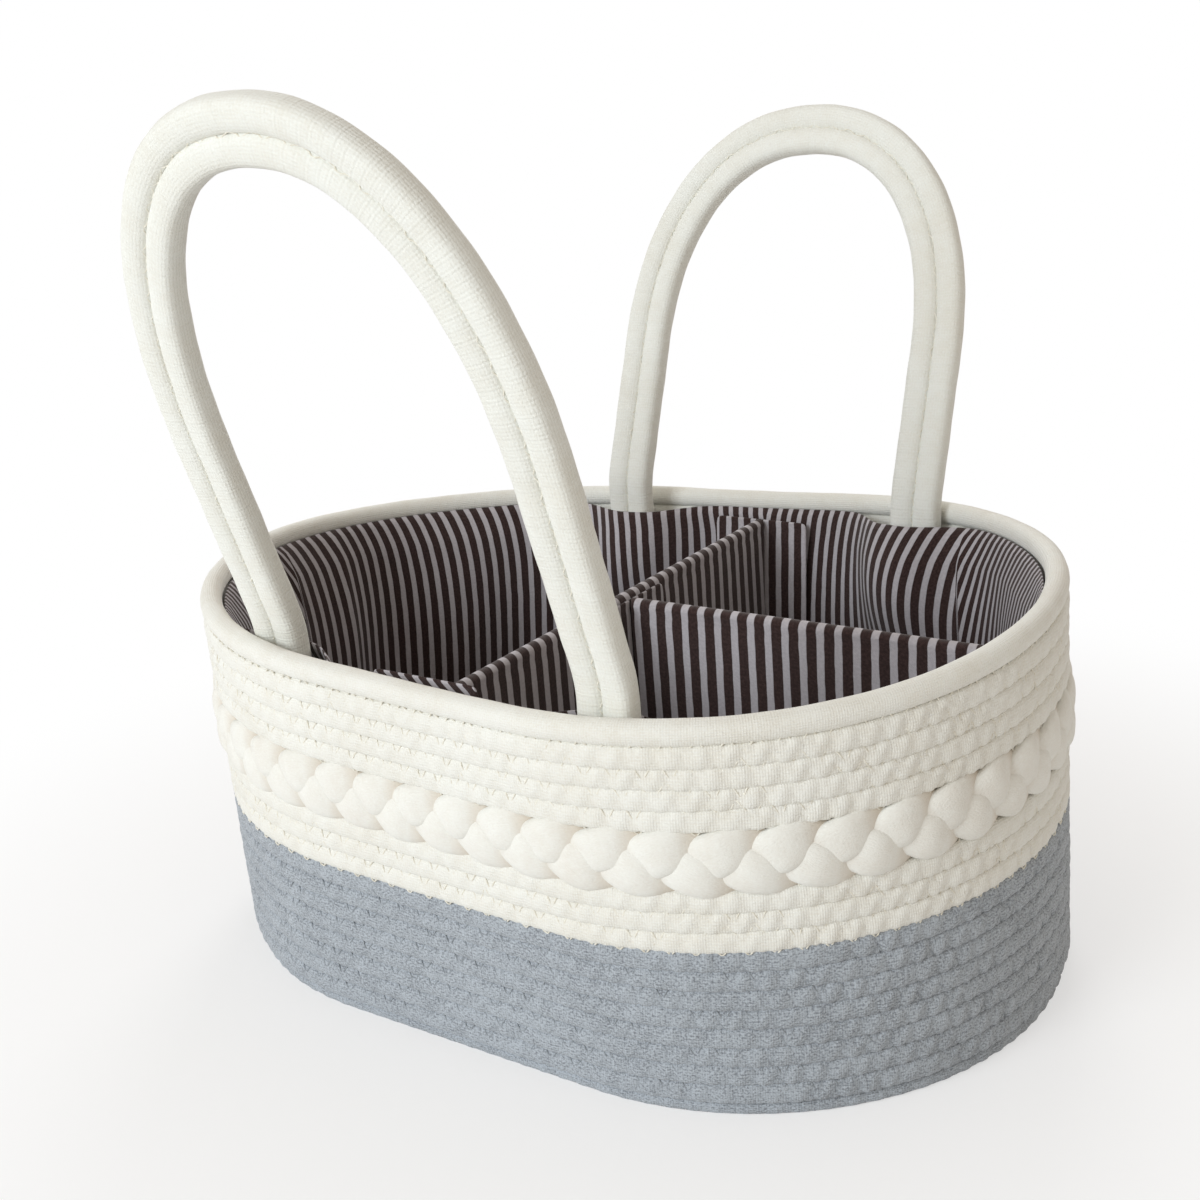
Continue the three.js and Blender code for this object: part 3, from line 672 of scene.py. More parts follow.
def add_rows(name, colour, rows, first_z):
    """The coil of one colour: level rows with the puckers that the seams leave."""
    turns = np.arange(-STEP_SHARE, rows, STITCH_REPEAT / STEPS_PER_STITCH / LOOP_LENGTH)
    layer, height = coil_layers(turns, rows)
    centres, out = wall(turns, first_z + layer * ROW_PITCH, CORD_RADIUS)
    along = turns * LOOP_LENGTH
    section = superellipse(ROW_SECTION_ANGLES, ROW_SECTION_EXPONENT)
    half_up = ROW_PITCH / 2 * ROW_SQUEEZE * height
    grid = tube(centres, out, UP, CORD_RADIUS * np.sqrt(height), half_up, section)
    press, shade = seam_press(along, section[:, 1])
    lumps = ROW_LUMP * np.sin(along / 5.3 + 2 * np.sin(along / 37.0))
    outer_face = section[:, 0] > 0.05
    full_row = height > 0.9
    move = (lumps[:, None] - press) * full_row[:, None] * outer_face
    grid = grid + move[..., None] * out[:, None]
    around = round_distances(section * CORD_RADIUS)
    # Painted shade on the outer face, in the seam dents and stitch holes.
    piece = tube_piece(f"{name}_rows", grid, along, around, shade=shade * outer_face)
    finish_piece(piece, f"{colour}_cord", "basket", f"{name}_coil")


def fall_off(share, exponent):
    """How far in a superellipse's surface is at a share of its half width."""
    return 1 - (1 - np.clip(np.abs(share), 0, 1) ** exponent) ** (1 / exponent)


def add_seam(name, colour, low, high, start=0, stop=1, climbs=False):
    """A zigzag thread from low to high on the wall, each as (z, inset), on level or climbing with a coil."""
    step = STITCH_REPEAT / STEPS_PER_ZIGZAG / LOOP_LENGTH
    turns = start + step * np.arange(int((stop - start) / step))
    along = turns * LOOP_LENGTH
    height = zigzag(stitch_count(along))
    layer = climbs * (np.floor(turns) + stepped(turns - np.floor(turns)))
    low_z = low[0] + layer * ROW_PITCH + BOUNDARY_TICK * (layer < 0)
    high_z = high[0] + layer * ROW_PITCH
    groove = CORD_RADIUS * fall_off(2 * np.minimum(height, 1 - height) / ROW_SQUEEZE, ROW_SECTION_EXPONENT)
    sink = THREAD_SINK + THREAD_PRESS * (tightness(along) - 1)
    inset = low[1] + (high[1] - low[1]) * height + groove + thread_dip(height) + sink
    points, out = wall(turns, low_z + (high_z - low_z) * height, inset)
    piece = thread_piece(name, points, out, distances(points))
    finish_piece(piece, f"{colour}_thread", "basket", slot=f"{colour}_cord")


def add_walls():
    """The coils and their seams, and then the seams at the rim and at the plait."""
    for name, seam, colour, rows, first_z, start in (
        ("grey_wall", "grey", "grey", GREY_ROWS, GREY_FIRST_Z, 0),
        ("lower_cream", "lower_cream", "cream", LOWER_CREAM_ROWS, LOWER_FIRST_Z, -1),
        ("upper_cream", "upper_cream", "cream", UPPER_CREAM_ROWS, UPPER_FIRST_Z, 0),
    ):
        add_rows(name, colour, rows, first_z)
        low, high = (first_z, 0.0), (first_z + ROW_PITCH, 0.0)
        add_seam(f"{seam}_row_seam", colour, low, high, start, rows - 1, climbs=True)
    add_seam("rim_seam", "cream", (UPPER_LAST_Z, 0.0), (RIM_CENTRE_Z - RIM_SEAM_DROP, RIM_SEAM_INSET))
    edge = (PLAIT_BOTTOM_Z + PLAIT_SEAM_REACH, PLAIT_SEAM_INSET)
    add_seam("plait_lower_seam", "cream", (LOWER_LAST_Z, 0.0), edge)
    edge = (PLAIT_TOP_Z - PLAIT_SEAM_REACH, PLAIT_SEAM_INSET)
    add_seam("plait_upper_seam", "cream", edge, (UPPER_FIRST_Z, 0.0))


def add_rim():
    share = np.arange(RIM_RINGS) / RIM_RINGS
    half = RIM_CORD_DIAMETER / 2
    centres, out = wall(share, RIM_CENTRE_Z, half)
    angle = math.tau * share
    swell = 1 + 0.012 * np.sin(17 * angle + np.sin(5 * angle)) + 0.008 * np.sin(43 * angle)
    section = round_section(24, RIM_SECTION_EXPONENT, -math.pi / 2)
    grid = tube(centres, out, UP, half * swell, (half + 0.2) * swell, section)
    along = np.linspace(0, LOOP_LENGTH, RIM_RINGS + 1)
    piece = tube_piece("rim_cord_sleeve", grid, along, round_distances(section * half), closed=True)
    finish_piece(piece, "cream_cord", "basket", "rim_cord")


def base_turns(straight, inner, pitch):
    """Places along the base's coil, twice as close together in its outermost loop."""
    turns = []
    for loop in range(-1, BASE_LOOPS):
        length = 4 * straight + math.tau * (inner + pitch * max(loop, 0))
        spacing = BASE_RING_SPACING / (2 if loop == BASE_LOOPS - 1 else 1)
        count = int(length / spacing)
        turns.append(loop + np.arange(count) / count)
    turns = np.concatenate(turns)
    return turns[turns >= -STEP_SHARE]


def add_base():
    """The flat coil of the base, cut flat where it stands."""
    straight, radius = outline_at(0)
    inner = CORD_RADIUS + LAY_GAP
    pitch = (radius - CORD_RADIUS - inner) / (BASE_LOOPS - 1)
    turns = base_turns(straight, inner, pitch)
    layer, height = coil_layers(turns, BASE_LOOPS)
    flat, out = oval(turns, straight, inner + pitch * layer)
    centres, out = with_z(flat, CORD_RADIUS - CORD_DIAMETER / 10), with_z(out, 0.0)
    section = round_section(12, 2.2)
    grid = tube(centres, out, UP, pitch / 2 * height, CORD_RADIUS * np.sqrt(height), section)
    along = distances(centres)
    press, _ = seam_press(along, section[:, 1])
    edge = BASE_EDGE_INSET * smooth_step(turns, BASE_LOOPS - 1.2, BASE_LOOPS - 1)
    moved = np.where(section[:, 0] > 0, 1, 1 - height[:, None])
    inward = (edge[:, None] + press) * moved
    grid = grid - inward[..., None] * out[:, None]
    grid[..., 2] = np.maximum(grid[..., 2], 0)
    piece = tube_piece("base_rows", grid, along, round_distances(section * CORD_RADIUS))
    finish_piece(piece, "grey_cord", "basket", "base_coil")


def add_plait():
    """Three soft strands. Each sways up and down once in a repeat and in and out twice."""
    count = PLAIT_REPEATS * PLAIT_STEPS
    share = np.arange(count) / count
    section = round_section(28, STRAND_SECTION_EXPONENT)
    around = round_distances(section * STRAND_WIDTH / 2)
    along = np.linspace(0, LOOP_LENGTH, count + 1)
    reach = (PLAIT_HEIGHT + PLAIT_TUCK - STRAND_WIDTH) / 2
    for number, letter in enumerate("abc"):
        turn = math.tau * (PLAIT_REPEATS * share + number / 3)
        over = np.sin(2 * turn)
        z = (PLAIT_BOTTOM_Z + PLAIT_TOP_Z) / 2 + reach * signed_power(np.sin(turn), 0.8)
        centres, out = wall(share, z, CORD_RADIUS - PLAIT_PROUD - STRAND_WAVE * over)
        way = unit(np.roll(centres, -1, 0) - np.roll(centres, 1, 0))
        across = unit(out - (out * way).sum(-1, keepdims=True) * way)
        lumps = 1 + 0.03 * np.sin(math.tau * 41 * share + number) + 0.015 * np.sin(math.tau * 97 * share)
        swell = (1 + 0.06 * over) * lumps
        half_out, half_up = STRAND_THICKNESS / 2 * swell, STRAND_WIDTH / 2 * swell
        grid = tube(centres, across, np.cross(way, across), half_out, half_up, section)
        # Painted shade: each strand is darker and warmer where it dives under the next one.
        diving_shade = np.clip((0.5 - over) / 1.5, 0, 1)
        shade = np.broadcast_to(0.9 * diving_shade[:, None], grid.shape[:2])
        piece = tube_piece(f"plait_strand_{letter}", grid, along, around, closed=True, shade=shade)
        finish_piece(piece, "strand", "basket", f"braid_strand_{letter}", slot="cream_cord")


# Handles


def handle_top(share):
    """How far a handle's top is from its hinge."""
    return (HANDLE_LEG_LENGTH + HANDLE_ARCH_RISE) * share + HANDLE_OFFSET + HANDLE_RADIUS


HANDLE_REACH = handle_top(1) * math.sin(FRONT_HANDLE_LEAN) - joint_place("front_handle_swing")[1]


class Handle:
    """One handle: its hinge, its side of the caddy, its height share, and the lean that gives its reach."""

    def __init__(self, end, side, share):
        self.end, self.side, self.share = end, side, share
        self.hinge = joint_place(f"{end}_handle_swing")
        self.lean = math.asin((HANDLE_REACH - abs(self.hinge[1])) / handle_top(share))


def arch_line(offset, spacing, share):
    """One cord of a handle, from end to end: points across and up, outward ways, and distances."""
    arch = superellipse(np.linspace(math.pi, 0, 1200), HANDLE_ARCH_EXPONENT)
    x = HANDLE_HALF_SPAN * arch[:, 0]
    rise = (HANDLE_LEG_LENGTH + HANDLE_ARCH_RISE * arch[:, 1]) * share
    leg = np.linspace(-HANDLE_TAIL_LENGTH - HANDLE_RADIUS, HANDLE_LEG_LENGTH * share, 200)[:-1]
    span = np.full_like(leg, HANDLE_HALF_SPAN)
    middle = joined(np.r_[-span, x, span], np.r_[leg, rise, leg[::-1]])
    way = ways(middle)
    outward = joined(-way[:, 1], way[:, 0])
    line = middle + offset * outward
    length = distances(line)
    place = np.linspace(0, length[-1], int(length[-1] / spacing) + 1)
    found = joined(*(np.interp(place, length, part) for part in (*line.T, *outward.T)))
    return found[:, :2], unit(found[:, 2:]), place


def lean_over(flat, handle, lift=0.0):
    """Points of a handle's plane in space: upright below the rim, leaning outward above it."""
    hinge, lean, reach = handle.hinge, handle.lean, HANDLE_BEND_REACH
    height = flat[:, 1]
    share = np.clip((height + reach) / (2 * reach), 0, 1)
    ramp = 2 * reach * (share**3 - share**4 / 2) + np.maximum(height - reach, 0)
    angle = lean * smooth_step(share)
    y = hinge[1] + handle.side * (math.sin(lean) * ramp + lift * np.cos(angle))
    z = hinge[2] + height + (math.cos(lean) - 1) * ramp - lift * np.sin(angle)
    return joined(hinge[0] + flat[:, 0], y, z)


def blend_handle(piece, handle):
    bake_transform(piece)


def add_handle(handle):
    """A handle's two cords, thinner at their sewn-in ends and pressed together where they meet."""
    for ply, direction in (("outer", 1), ("inner", -1)):
        flat, outward, along = arch_line(direction * HANDLE_OFFSET, HANDLE_RING_SPACING, handle.share)
        centres = lean_over(flat, handle)
        across = unit(lean_over(flat + outward, handle) - centres)
        up = unit(np.cross(ways(centres), across))
        taper = np.clip(np.minimum(along, along[-1] - along) / HANDLE_END_TAPER, 0, 1)
        lumps = 1 + 0.012 * np.sin(along / 6.1 + direction) + 0.008 * np.sin(along / 2.7)
        wide = HANDLE_RADIUS * lumps * (0.85 + 0.15 * taper)
        thick = HANDLE_RADIUS * lumps * (0.55 + 0.45 * smooth_step(taper))
        section = round_section(24, HANDLE_SECTION_EXPONENT)
        section[:, 0] *= np.where(section[:, 0] * direction < 0, HANDLE_SQUEEZE, 1)
        grid = tube(centres, across, up, wide, thick, section)
        name = f"{handle.end}_handle_{ply}_cord"
        piece = tube_piece(f"{name}_sleeve", grid, along, round_distances(section * HANDLE_RADIUS))
        tails = [f"{handle.end}_{place}_{ply}_cord_end" for place in ("left", "right")]
        finish_piece(piece, "handle_cord", None, name, *tails)
        blend_handle(piece, handle)


def add_handle_seams(handle):
    """The zigzag that joins a handle's two cords, on both of its faces."""
    flat, outward, along = arch_line(0.0, STITCH_REPEAT / STEPS_PER_ZIGZAG, handle.share)
    height = zigzag(along / STITCH_REPEAT)
    swing = HANDLE_STITCH_SWING * (2 * height - 1)
    beside = (HANDLE_OFFSET - np.abs(swing)) / (HANDLE_RADIUS * HANDLE_SQUEEZE)
    surface = HANDLE_RADIUS * (1 - fall_off(beside, HANDLE_SECTION_EXPONENT))
    depth = surface - HANDLE_THREAD_SINK - thread_dip(height)
    flat = flat + swing[:, None] * outward
    for face, direction in (("outside", 1), ("inside", -1)):
        points = lean_over(flat, handle, direction * depth)
        out = unit(points - lean_over(flat, handle))
        piece = thread_piece(f"{handle.end}_handle_{face}_seam", points, out, along * 1.3)
        finish_piece(piece, "cream_thread", None, slot="handle_cord")
        blend_handle(piece, handle)


# Lining and dividers


def lining_height(z):
    return np.clip((z - LINING_BOTTOM_Z) / (HEM_TOP_Z - LINING_BOTTOM_Z), 0, 1)


def foot_cover(x, y, z):
    """How far the lining stands in to pass the handles' sewn-in ends."""
    front, back = joint_place("front_handle_swing"), joint_place("back_handle_swing")
    tail_bottom = back[2] - HANDLE_RADIUS - HANDLE_TAIL_LENGTH
    straight, radius = outline_at(HEM_TOP_Z)
    inner_foot = HANDLE_HALF_SPAN - HANDLE_OFFSET - HANDLE_RADIUS
    inward = np.where(y < 0, -front[1], back[1]) - HANDLE_RADIUS - LAY_GAP
    needed = radius - np.hypot(inward, max(inner_foot - straight, 0)) + LAY_GAP
    from_middle = np.abs(x - np.where(y < 0, front[0], back[0]))
    beside = np.exp(-np.abs((from_middle - HANDLE_HALF_SPAN) / FOOT_COVER_WIDTH) ** 3)
    above = smooth_step(z, tail_bottom - FOOT_COVER_RUN, tail_bottom + FOOT_COVER_OVERLAP)
    return (needed - LINING_INSET) * beside * above


def end_fold(x, y, z):
    """Loose folds at the round ends, but none where the long divider's flap lies."""
    straight, radius = outline_at(z)
    angle = np.arctan2(np.abs(y), np.maximum(np.abs(x) - straight, 1e-6))
    quiet = np.where(x > 0, FLAP_QUIET / radius, 0)
    share = np.maximum((angle - quiet) / (math.pi / 2 - quiet), 0)
    right = np.sin(RIGHT_END_FOLDS * math.pi * share) ** 2
    left = np.cos(LEFT_END_FOLDS * math.pi * share) ** 2
    folds = np.where(x > 0, right, left) * np.sin(math.pi * lining_height(z))
    return END_FOLD_DEPTH * np.where(np.abs(x) > straight, folds, 0)


def end_turn(share):
    """How far round its end a place is, and whether that is the left end."""
    along = np.mod(share, 1.0) * LOOP_LENGTH
    arc = math.pi * MID_RADIUS
    left = 2 * (along - MID_STRAIGHT) / arc
    right = 2 * (LOOP_LENGTH - MID_STRAIGHT - along) / arc
    on_left = along < LOOP_LENGTH / 2
    return np.where(on_left, left, right), on_left


def crease(share, z):
    """A sewn crease at each round end, and a small one beside it at the left."""
    turn, on_left = end_turn(share)
    away = np.abs(turn - np.where(on_left, LEFT_CREASE, RIGHT_CREASE))
    second = np.exp(-np.abs(turn - LEFT_SECOND_CREASE) / SECOND_CREASE_WIDTH) * on_left
    depth = CREASE_DEPTH * np.exp(-away / CREASE_WIDTH) + SECOND_CREASE_DEPTH * second
    return depth * np.sin(math.pi * lining_height(z)) ** 0.5


def stripe_shift(share, drop):
    """How far a stripe has moved along the wall at a drop below the top.

    A panel is let in from each crease to a stop: its stripes run slanted and closer together.
    """
    turn, on_left = end_turn(share)
    start = np.where(on_left, LEFT_CREASE, RIGHT_CREASE)
    stop = np.where(on_left, LEFT_PANEL_STOP, RIGHT_PANEL_STOP)
    panel = (turn >= start) & (turn < stop)
    approach = smooth_step(turn, -0.6, 0.2) * (turn < start)
    slant = np.where(panel, PANEL_SLANT, 0.5 * approach)
    run = np.where(panel, PANEL_RUN, np.where(on_left, LEFT_RUN, RIGHT_RUN))
    side = np.where(on_left, 1, -1)
    gathered = side * PANEL_GATHER * (turn - start) * panel * math.pi * MID_RADIUS / 2
    slid = (side * slant * run)[:, None] * (1 - np.exp(-drop / run[:, None]))
    return slid + gathered[:, None]


def lining_inset(share, z):
    """How far in the lining is: loose, but calm where a flap or a handle holds it."""
    straight, radius = outline_at(z)
    flat, _ = oval(share, straight, radius)
    x, y = flat[..., 0], flat[..., 1]
    calm = smooth_step(np.abs(x), 26, 60) * np.where(x > 0, smooth_step(np.abs(y), 30, 60), 1)
    height = lining_height(z)
    along = share * LOOP_LENGTH
    billow = BILLOW * np.sin(along / 17 + 1.3 * np.sin(along / 61 + 2 * height)) * np.sin(math.pi * height)
    drop = HEM_TOP_Z - z
    slack = TOP_SLACK * smooth_step(drop, 0, 16) * (1 - smooth_step(drop, 30, 120))
    folds = end_fold(x, y, z) + crease(share, z)
    return LINING_INSET + foot_cover(x, y, z) + folds + calm * (slack + np.abs(billow))


def add_wall_lining():
    """The bag wall, with an outer and an inner face, and thicker at its hem."""
    level = np.linspace(0, 1, LINING_LEVELS) ** 0.92
    z = LINING_BOTTOM_Z + (HEM_TOP_Z - LINING_BOTTOM_Z) * level
    edges = np.arange(LINING_COLUMNS + 1) / LINING_COLUMNS
    share_grid, z_grid = np.meshgrid(edges[:-1], z, indexing="ij")
    inset = lining_inset(share_grid, z_grid)
    hem_edge = HEM_TOP_Z - HEM_HEIGHT
    hem = HEM_EXTRA * smooth_step(z_grid, hem_edge - 0.6, hem_edge + 0.4)
    tuck = 1 - smooth_step(z_grid, HEM_TOP_Z - 1.0, HEM_TOP_Z)
    thickness = LINING_THICKNESS * (0.5 + 0.5 * tuck) + hem * tuck
    outer, _ = wall(share_grid, z_grid, inset)
    inner, _ = wall(share_grid, z_grid, inset + thickness)
    outer[:, 0, 2] = inner[:, 0, 2] = LINING_BOTTOM_Z
    length = round_distances(inner[:, LINING_LEVELS * 2 // 3])
    across = length * round(length[-1] / WALL_STRIPE_REPEAT) * STRIPE_REPEAT / length[-1]
    height = np.r_[z, z[::-1], z[:1]]

    def stripes(nudge):
        shift = stripe_shift(edges + nudge, HEM_TOP_Z - height)
        return joined(across[:, None] + shift, height)

    grid = np.concatenate([outer, inner[:, ::-1]], 1)
    piece = grid_piece("wall_lining_cloth", grid, stripes(1e-6), closed=True, uv_before=stripes(-1e-6))
    finish_piece(piece, "striped_cloth", "basket", "wall_lining")


def add_floor_lining():
    """The floor panel, with the base's rows showing through."""
    straight, radius = outline_at(0)
    radius = radius - LINING_INSET
    low, high = (corner[2] for corner in box_of("floor_lining"))
    sizes = np.r_[0.0015, 0.008, np.linspace(0.02, 0.99, 56), 0.997, 1.0]
    share, size = np.meshgrid(np.arange(420) / 420, sizes, indexing="ij")
    flat, _ = oval(share, straight * np.minimum(1, 4 * size), radius * size)
    rows = 0.18 * np.sin(math.tau * size * radius / ROW_PITCH) * (1 - smooth_step(size, 0.95, 1.0))
    edge = 1 - smooth_step(size, 0.985, 1.0)
    half = (high - low) / 2 * edge
    top = with_z(flat, (low + high) / 2 + half + rows - 0.2 * edge)
    bottom = with_z(flat, (low + high) / 2 - half)
    grid = np.concatenate([bottom, top[:, ::-1]], 1)
    uv = np.pad(grid[..., :2], ((0, 1), (0, 1), (0, 0)), mode="wrap")
    piece = grid_piece("floor_lining_cloth", grid, uv, closed=True)
    finish_piece(piece, "striped_cloth", "basket", "floor_lining")


def stops(low, high, spacing, edge=1.2):
    """Places from low to high, close together near both ends."""
    near = edge * np.array([0, 0.08, 0.3, 0.62])
    inner = np.linspace(low + edge, high - edge, max(2, round((high - low - 2 * edge) / spacing) + 1))
    return np.r_[low + near, inner, high - near[::-1]]


def edge_round(distance, reach):
    """A thickness share that falls off in a quarter circle at an edge."""
    share = np.clip(1 - distance / reach, 0, 1)
    return np.sqrt(1 - share**2)


def strip_grid(width, height, corner):
    """Places across and up of a flat strip with rounded corners, and how far each is from the edge."""
    half = np.array([width, height]) / 2
    across, up = stops(-half[0], half[0], 2.0), stops(-half[1], half[1], 2.5)
    flat = np.stack(np.meshgrid(across, up, indexing="ij"), -1)
    distance = (half - np.abs(flat)).min(-1)
    over = np.abs(flat) - (half - corner)
    shrink = over.max(-1) / np.maximum(np.linalg.norm(over, axis=-1), 1e-9)
    rounded = np.sign(flat) * (half - corner + over * shrink[..., None])
    flat = np.where((over > 0).all(-1)[..., None], rounded, flat)
    return flat[..., 0], flat[..., 1], distance


def add_strip(name, node, body, look, surface, place, size, corner=TAPE_CORNER, hem=0, ripple=0, slant=0):
    """A thin piece of cloth at a place on a surface, which gives points and the way that it faces."""
    width, bottom, top = size
    a, b, distance = strip_grid(width, top - bottom, corner)
    b = b + (bottom + top) / 2
    points, facing = surface(a, b, place)
    half = STRIP_THICKNESS / 2 * edge_round(distance, STRIP_THICKNESS / 2)
    if hem:
        half = half * (1 - 0.45 * bell(distance - hem, 0.5))
    wave = ripple * np.sin(b / 9.0 + 1.7 * np.sin(a / 13.0)) * np.clip(distance / 8, 0, 1)
    both = np.stack([points + (wave + side * half)[..., None] * facing for side in (1, -1)])
    numbers = np.arange(a.size).reshape(a.shape)
    ring = np.r_[numbers[0], numbers[1:, -1], numbers[-1, -2::-1], numbers[-2:0:-1, 0]]
    after = np.roll(ring, -1)
    sides = joined(ring, after, after + a.size, ring + a.size)
    quads, _, _ = grid_faces(*a.shape, False, False)
    faces = [quads, quads[:, ::-1] + a.size, sides]
    uv = np.tile(joined(a + slant * (b - top), b).reshape(-1, 2), (2, 1))
    piece = new_piece(name, both.reshape(-1, 3), faces, [uv[group] for group in faces])
    finish_piece(piece, look, body, node)


def on_front(a, b, inset):
    return joined(a, inset - outline_at(b)[1], b), [0.0, 1.0, 0.0]


def on_back(a, b, inset):
    return joined(a, outline_at(b)[1] - inset, b), [0.0, -1.0, 0.0]


def on_cross_divider(a, b, x):
    return joined(x, a, b), [-1.0, 0.0, 0.0]


def on_right_end(a, b, inset):
    straight, radius = outline_at(DIVIDER_TOP_Z)
    reach = radius - inset - 0.5
    out = joined(np.cos(a / reach), np.sin(a / reach), 0.0)
    return joined(straight, 0.0, b) + reach * out, -out


def add_cover(divider, span, place):
    """A cloth pocket round a board. span(z) gives its ends, and place(along, out, up) its points."""
    half = COVER_THICKNESS / 2
    crest_z = DIVIDER_TOP_Z - COVER_CREST
    side = np.linspace(DIVIDER_BOTTOM_Z, crest_z, 48)
    bend = np.linspace(0, math.pi, 15)[1:-1]
    out = np.r_[half + 0 * side, half * np.cos(bend), 0 * side - half]
    up = np.r_[side, crest_z + COVER_CREST * np.sin(bend), side[::-1]]
    inner_out = np.sign(out) * np.maximum(np.abs(out) - COVER_CLOTH, 0.05)
    inner_up = np.minimum(up, crest_z + 0.66 * (up - crest_z))
    low, high = span(DIVIDER_TOP_Z)
    length = high - low
    share = stops(0, 1, COVER_SPACING / length, edge=2.4 / length)
    ends = np.minimum(share, 1 - share) * length
    pinch = (0.35 + 0.65 * edge_round(ends, 1.3)) * (1 - 0.10 * bell(ends - 3.5, 0.6))

    def layer(outs, ups):
        start, stop = span(ups)
        along = start + (stop - start) * share[:, None]
        swell = 0.18 * np.sin(along / 11 + ups / 23) * (np.abs(outs) > half * 0.99)
        top_seam = 0.25 * bell(ups - DIVIDER_TOP_Z + 6.0, 0.6)
        crossing = outs * pinch[:, None] + (swell - top_seam) * np.sign(outs)
        return place(along, crossing, ups), along

    outer, along = layer(out, up)
    inner, _ = layer(inner_out[::-1], inner_up[::-1])
    travel = np.concatenate([along, along[:, ::-1], along[:, :1]], 1) * STRIPE_REPEAT / DIVIDER_STRIPE_REPEAT
    uv = joined(travel, np.r_[up, up[::-1], up[:1]])
    piece = grid_piece(f"{divider}_cloth", np.concatenate([outer, inner], 1), uv)
    finish_piece(piece, "striped_cloth", divider, f"{divider}_cover")


def add_dividers():
    end_inset = LINING_INSET + LINING_THICKNESS + 3 * STRIP_STEP + SEAT_GAP
    near, far = (corner[0] for corner in box_of("long_divider_cover"))

    def cross_span(z):
        reach = outline_at(z)[1] - end_inset + COVER_EXTRA
        return -reach, reach

    def long_span(z):
        return near - COVER_EXTRA + 0 * z, far + COVER_EXTRA + 0 * z

    add_cover("cross_divider", cross_span, lambda along, out, up: joined(out, along, up))
    add_cover("long_divider", long_span, lambda along, out, up: joined(along, -out, up))


def add_flap(end, divider, surface, places, behind="basket", rise=0, ripple=0.15, slant=0):
    """A divider's flap, the hook tape on it, and the loop tape on the body behind it."""
    loop_node = f"{end}_wall_loop_tape" if behind == "basket" else f"{behind}_loop_tape"
    bottom, top = (corner[2] for corner in box_of("cross_divider_front_flap"))
    tape = (TAPE_WIDTH, *(corner[2] for corner in box_of("front_wall_loop_tape")))
    loop, hook, flap = places
    add_strip(f"{end}_loop_tape", loop_node, behind, "loop_tape", surface, loop, tape)
    add_strip(f"{end}_hook_tape", f"{divider}_{end}_hook_tape", divider, "hook_tape", surface, hook, tape)
    add_strip(f"{end}_flap_cloth", f"{divider}_{end}_flap", divider, "striped_cloth", surface, flap,
              (FLAP_WIDTH, bottom, top + rise), FLAP_CORNER, FLAP_HEM, ripple, slant)


def add_flaps_and_tapes():
    first = LINING_INSET + LINING_THICKNESS + SEAT_GAP + STRIP_THICKNESS / 2
    insets = [first + number * STRIP_STEP for number in range(3)]
    joint_nodes = ("cross_divider_loop_tape", "long_divider_joint_hook_tape", "long_divider_joint_flap")
    joint = [np.mean(box_of(node), axis=0)[0] for node in joint_nodes]
    add_flap("front", "cross_divider", on_front, insets, rise=FRONT_FLAP_RISE, ripple=0.625, slant=0.9)
    add_flap("back", "cross_divider", on_back, insets)
    add_flap("joint", "long_divider", on_cross_divider, joint, "cross_divider", ripple=0.1)
    add_flap("end", "long_divider", on_right_end, insets)


# Room


def add_camera():
    level = Euler((math.pi / 2 - CAMERA_ELEVATION, 0, CAMERA_AZIMUTH)).to_matrix()
    target = level.col[0] * CAMERA_TARGET_RIGHT + Vector((0, 0, CAMERA_TARGET_HEIGHT))
    place = (target + level.col[2] * CAMERA_DISTANCE) * METRES_PER_MM
    rotation = level @ Matrix.Rotation(CAMERA_ROLL, 3, "Z")
    data = bpy.data.cameras.new("photo_camera")
    data.sensor_width = SENSOR_WIDTH
    data.sensor_fit = "HORIZONTAL"
    data.lens = FOCAL_PIXELS * SENSOR_WIDTH / PHOTO_SIZE
    data.clip_start = 0.01
    data.clip_end = 20
    camera = add_object("photo_camera", data)
    camera.matrix_world = Matrix.Translation(place) @ rotation.to_4x4()
    bpy.context.scene.camera = camera


def add_lamp(name, place, target, size, power, colour):
    data = bpy.data.lights.new(name, "AREA")
    data.shape = "DISK"
    data.size = size
    data.energy = power
    data.color = colour
    lamp = add_object(name, data)
    lamp.location = place
    lamp.rotation_euler = (Vector(target) - Vector(place)).to_track_quat("-Z", "Y").to_euler()


def seen_directly(n):
    """1 for rays from the camera, and for those that gloss and glass send on."""
    path = n.add("ShaderNodeLightPath")
    seen = n.math("MAXIMUM", path.outputs["Is Camera Ray"], path.outputs["Is Glossy Ray"])
    return n.math("MAXIMUM", seen, path.outputs["Is Transmission Ray"])


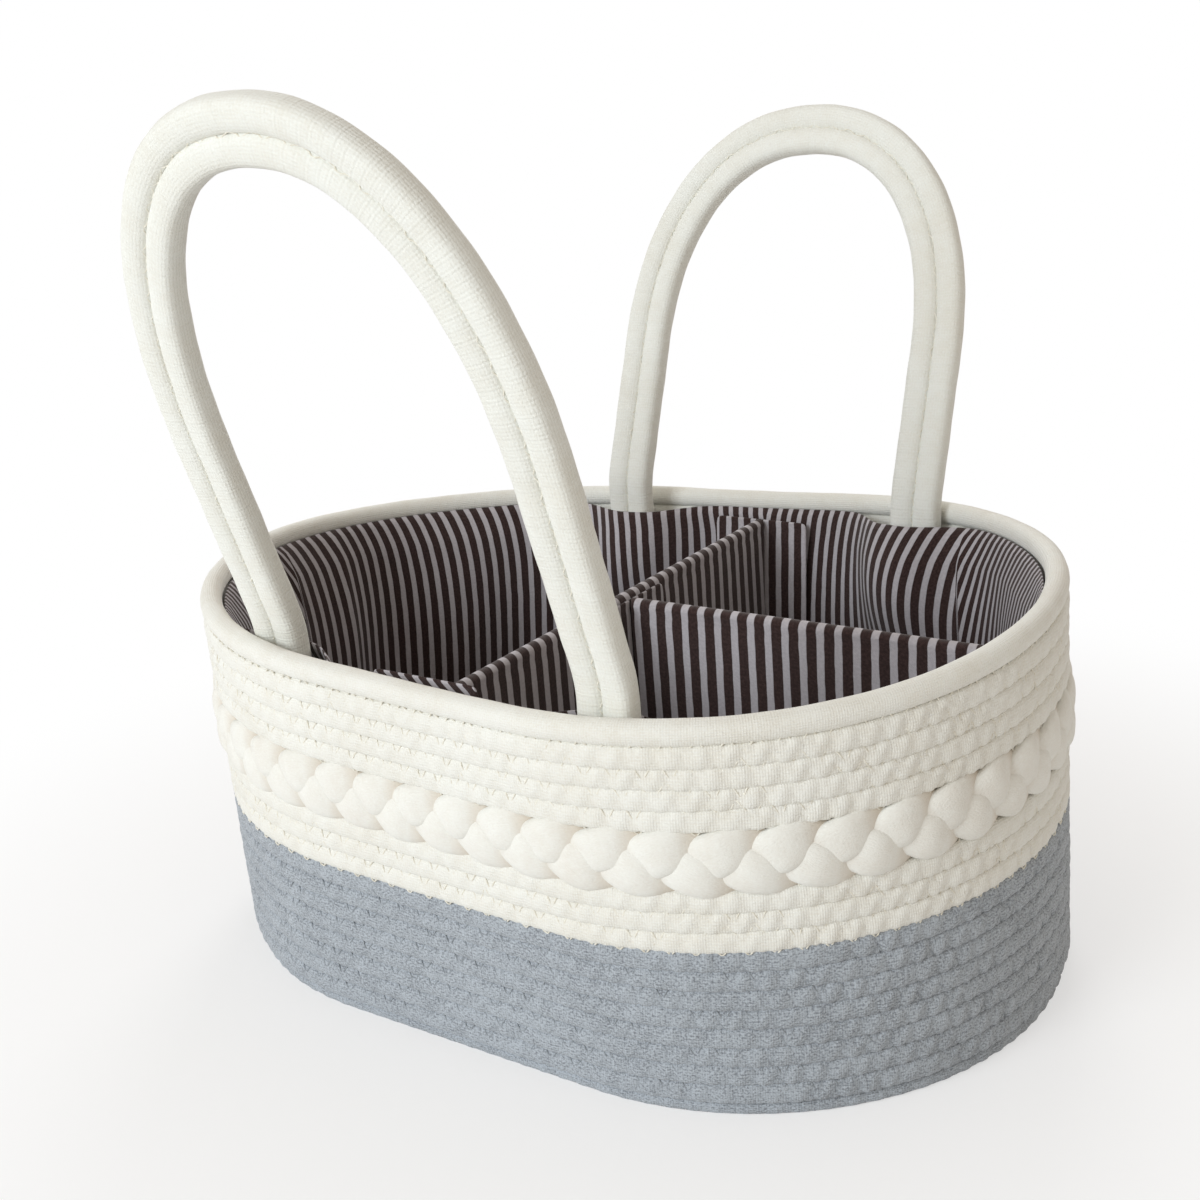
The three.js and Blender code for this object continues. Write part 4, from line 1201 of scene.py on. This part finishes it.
def add_world():
    """Soft warm light from all sides, which is seen as plain white."""
    n = Nodes(bpy.data.worlds.new("soft_studio"))
    light = n.tree.nodes["Background"]
    light.inputs["Color"].default_value = WORLD_COLOUR
    light.inputs["Strength"].default_value = WORLD_STRENGTH
    white = n.add("ShaderNodeBackground", {"Color": (1, 1, 1, 1)})
    n.mix_surface("World Output", seen_directly(n), light, white)
    bpy.context.scene.world = n.owner


def add_floor():
    """A plain pale floor that runs out to the white backdrop."""
    n = Nodes(bpy.data.materials.new("pale_floor"))
    n.surface(Base_Color=(0.86, 0.86, 0.86, 1), Roughness=0.9)
    glow = n.add("ShaderNodeEmission", {"Color": (1, 1, 1, 1), "Strength": 1.0})
    distance = n.add("ShaderNodeVectorMath", {0: n.place()}, operation="LENGTH").outputs["Value"]
    fade = n.ramp(distance, 0.16, 0.48, FLOOR_GLOW, 1.0)
    n.mix_surface("Material Output", n.math("MULTIPLY", fade, seen_directly(n)), n.shader, glow)
    mesh = bpy.data.meshes.new("floor")
    corners = [(x * FLOOR_REACH, y * FLOOR_REACH, 0) for x, y in ((-1, -1), (1, -1), (1, 1), (-1, 1))]
    mesh.from_pydata(corners, [], [(0, 1, 2, 3)])
    mesh.materials.append(n.owner)
    add_object("floor", mesh)


def paint_solids():
    """Looks for the solids that stay in view until a finer piece stands for them."""
    slots = {row["node"]: row["material_slot"] for row in frame["record"]["subparts"]}
    for name, solid in frame["nodes"].items():
        solid.data.materials.clear()
        solid.data.materials.append(looks[slots[name]])


add_camera()
paint_solids()
add_walls()
add_rim()
add_base()
add_plait()
for handle in (Handle("front", -1, 1.0), Handle("back", 1, BACK_HANDLE_HEIGHT_SHARE)):
    add_handle(handle)
    add_handle_seams(handle)
add_wall_lining()
add_floor_lining()
add_dividers()
add_flaps_and_tapes()
add_world()
add_floor()
add_lamp("key", (-0.74, -2.66, 1.38), (0, 0, 0.12), 1.65, 54, (0.93, 0.99, 1.04))
add_lamp("fill", (1.7, -0.4, 0.9), (0, 0, 0.12), 1.4, 0.6, (1.0, 0.92, 0.82))
add_lamp("back", (-0.9, 2.1, 1.3), (0, 0, 0.15), 1.1, 22, (1.0, 1.0, 1.0))
bpy.context.scene.view_settings.view_transform = "Standard"
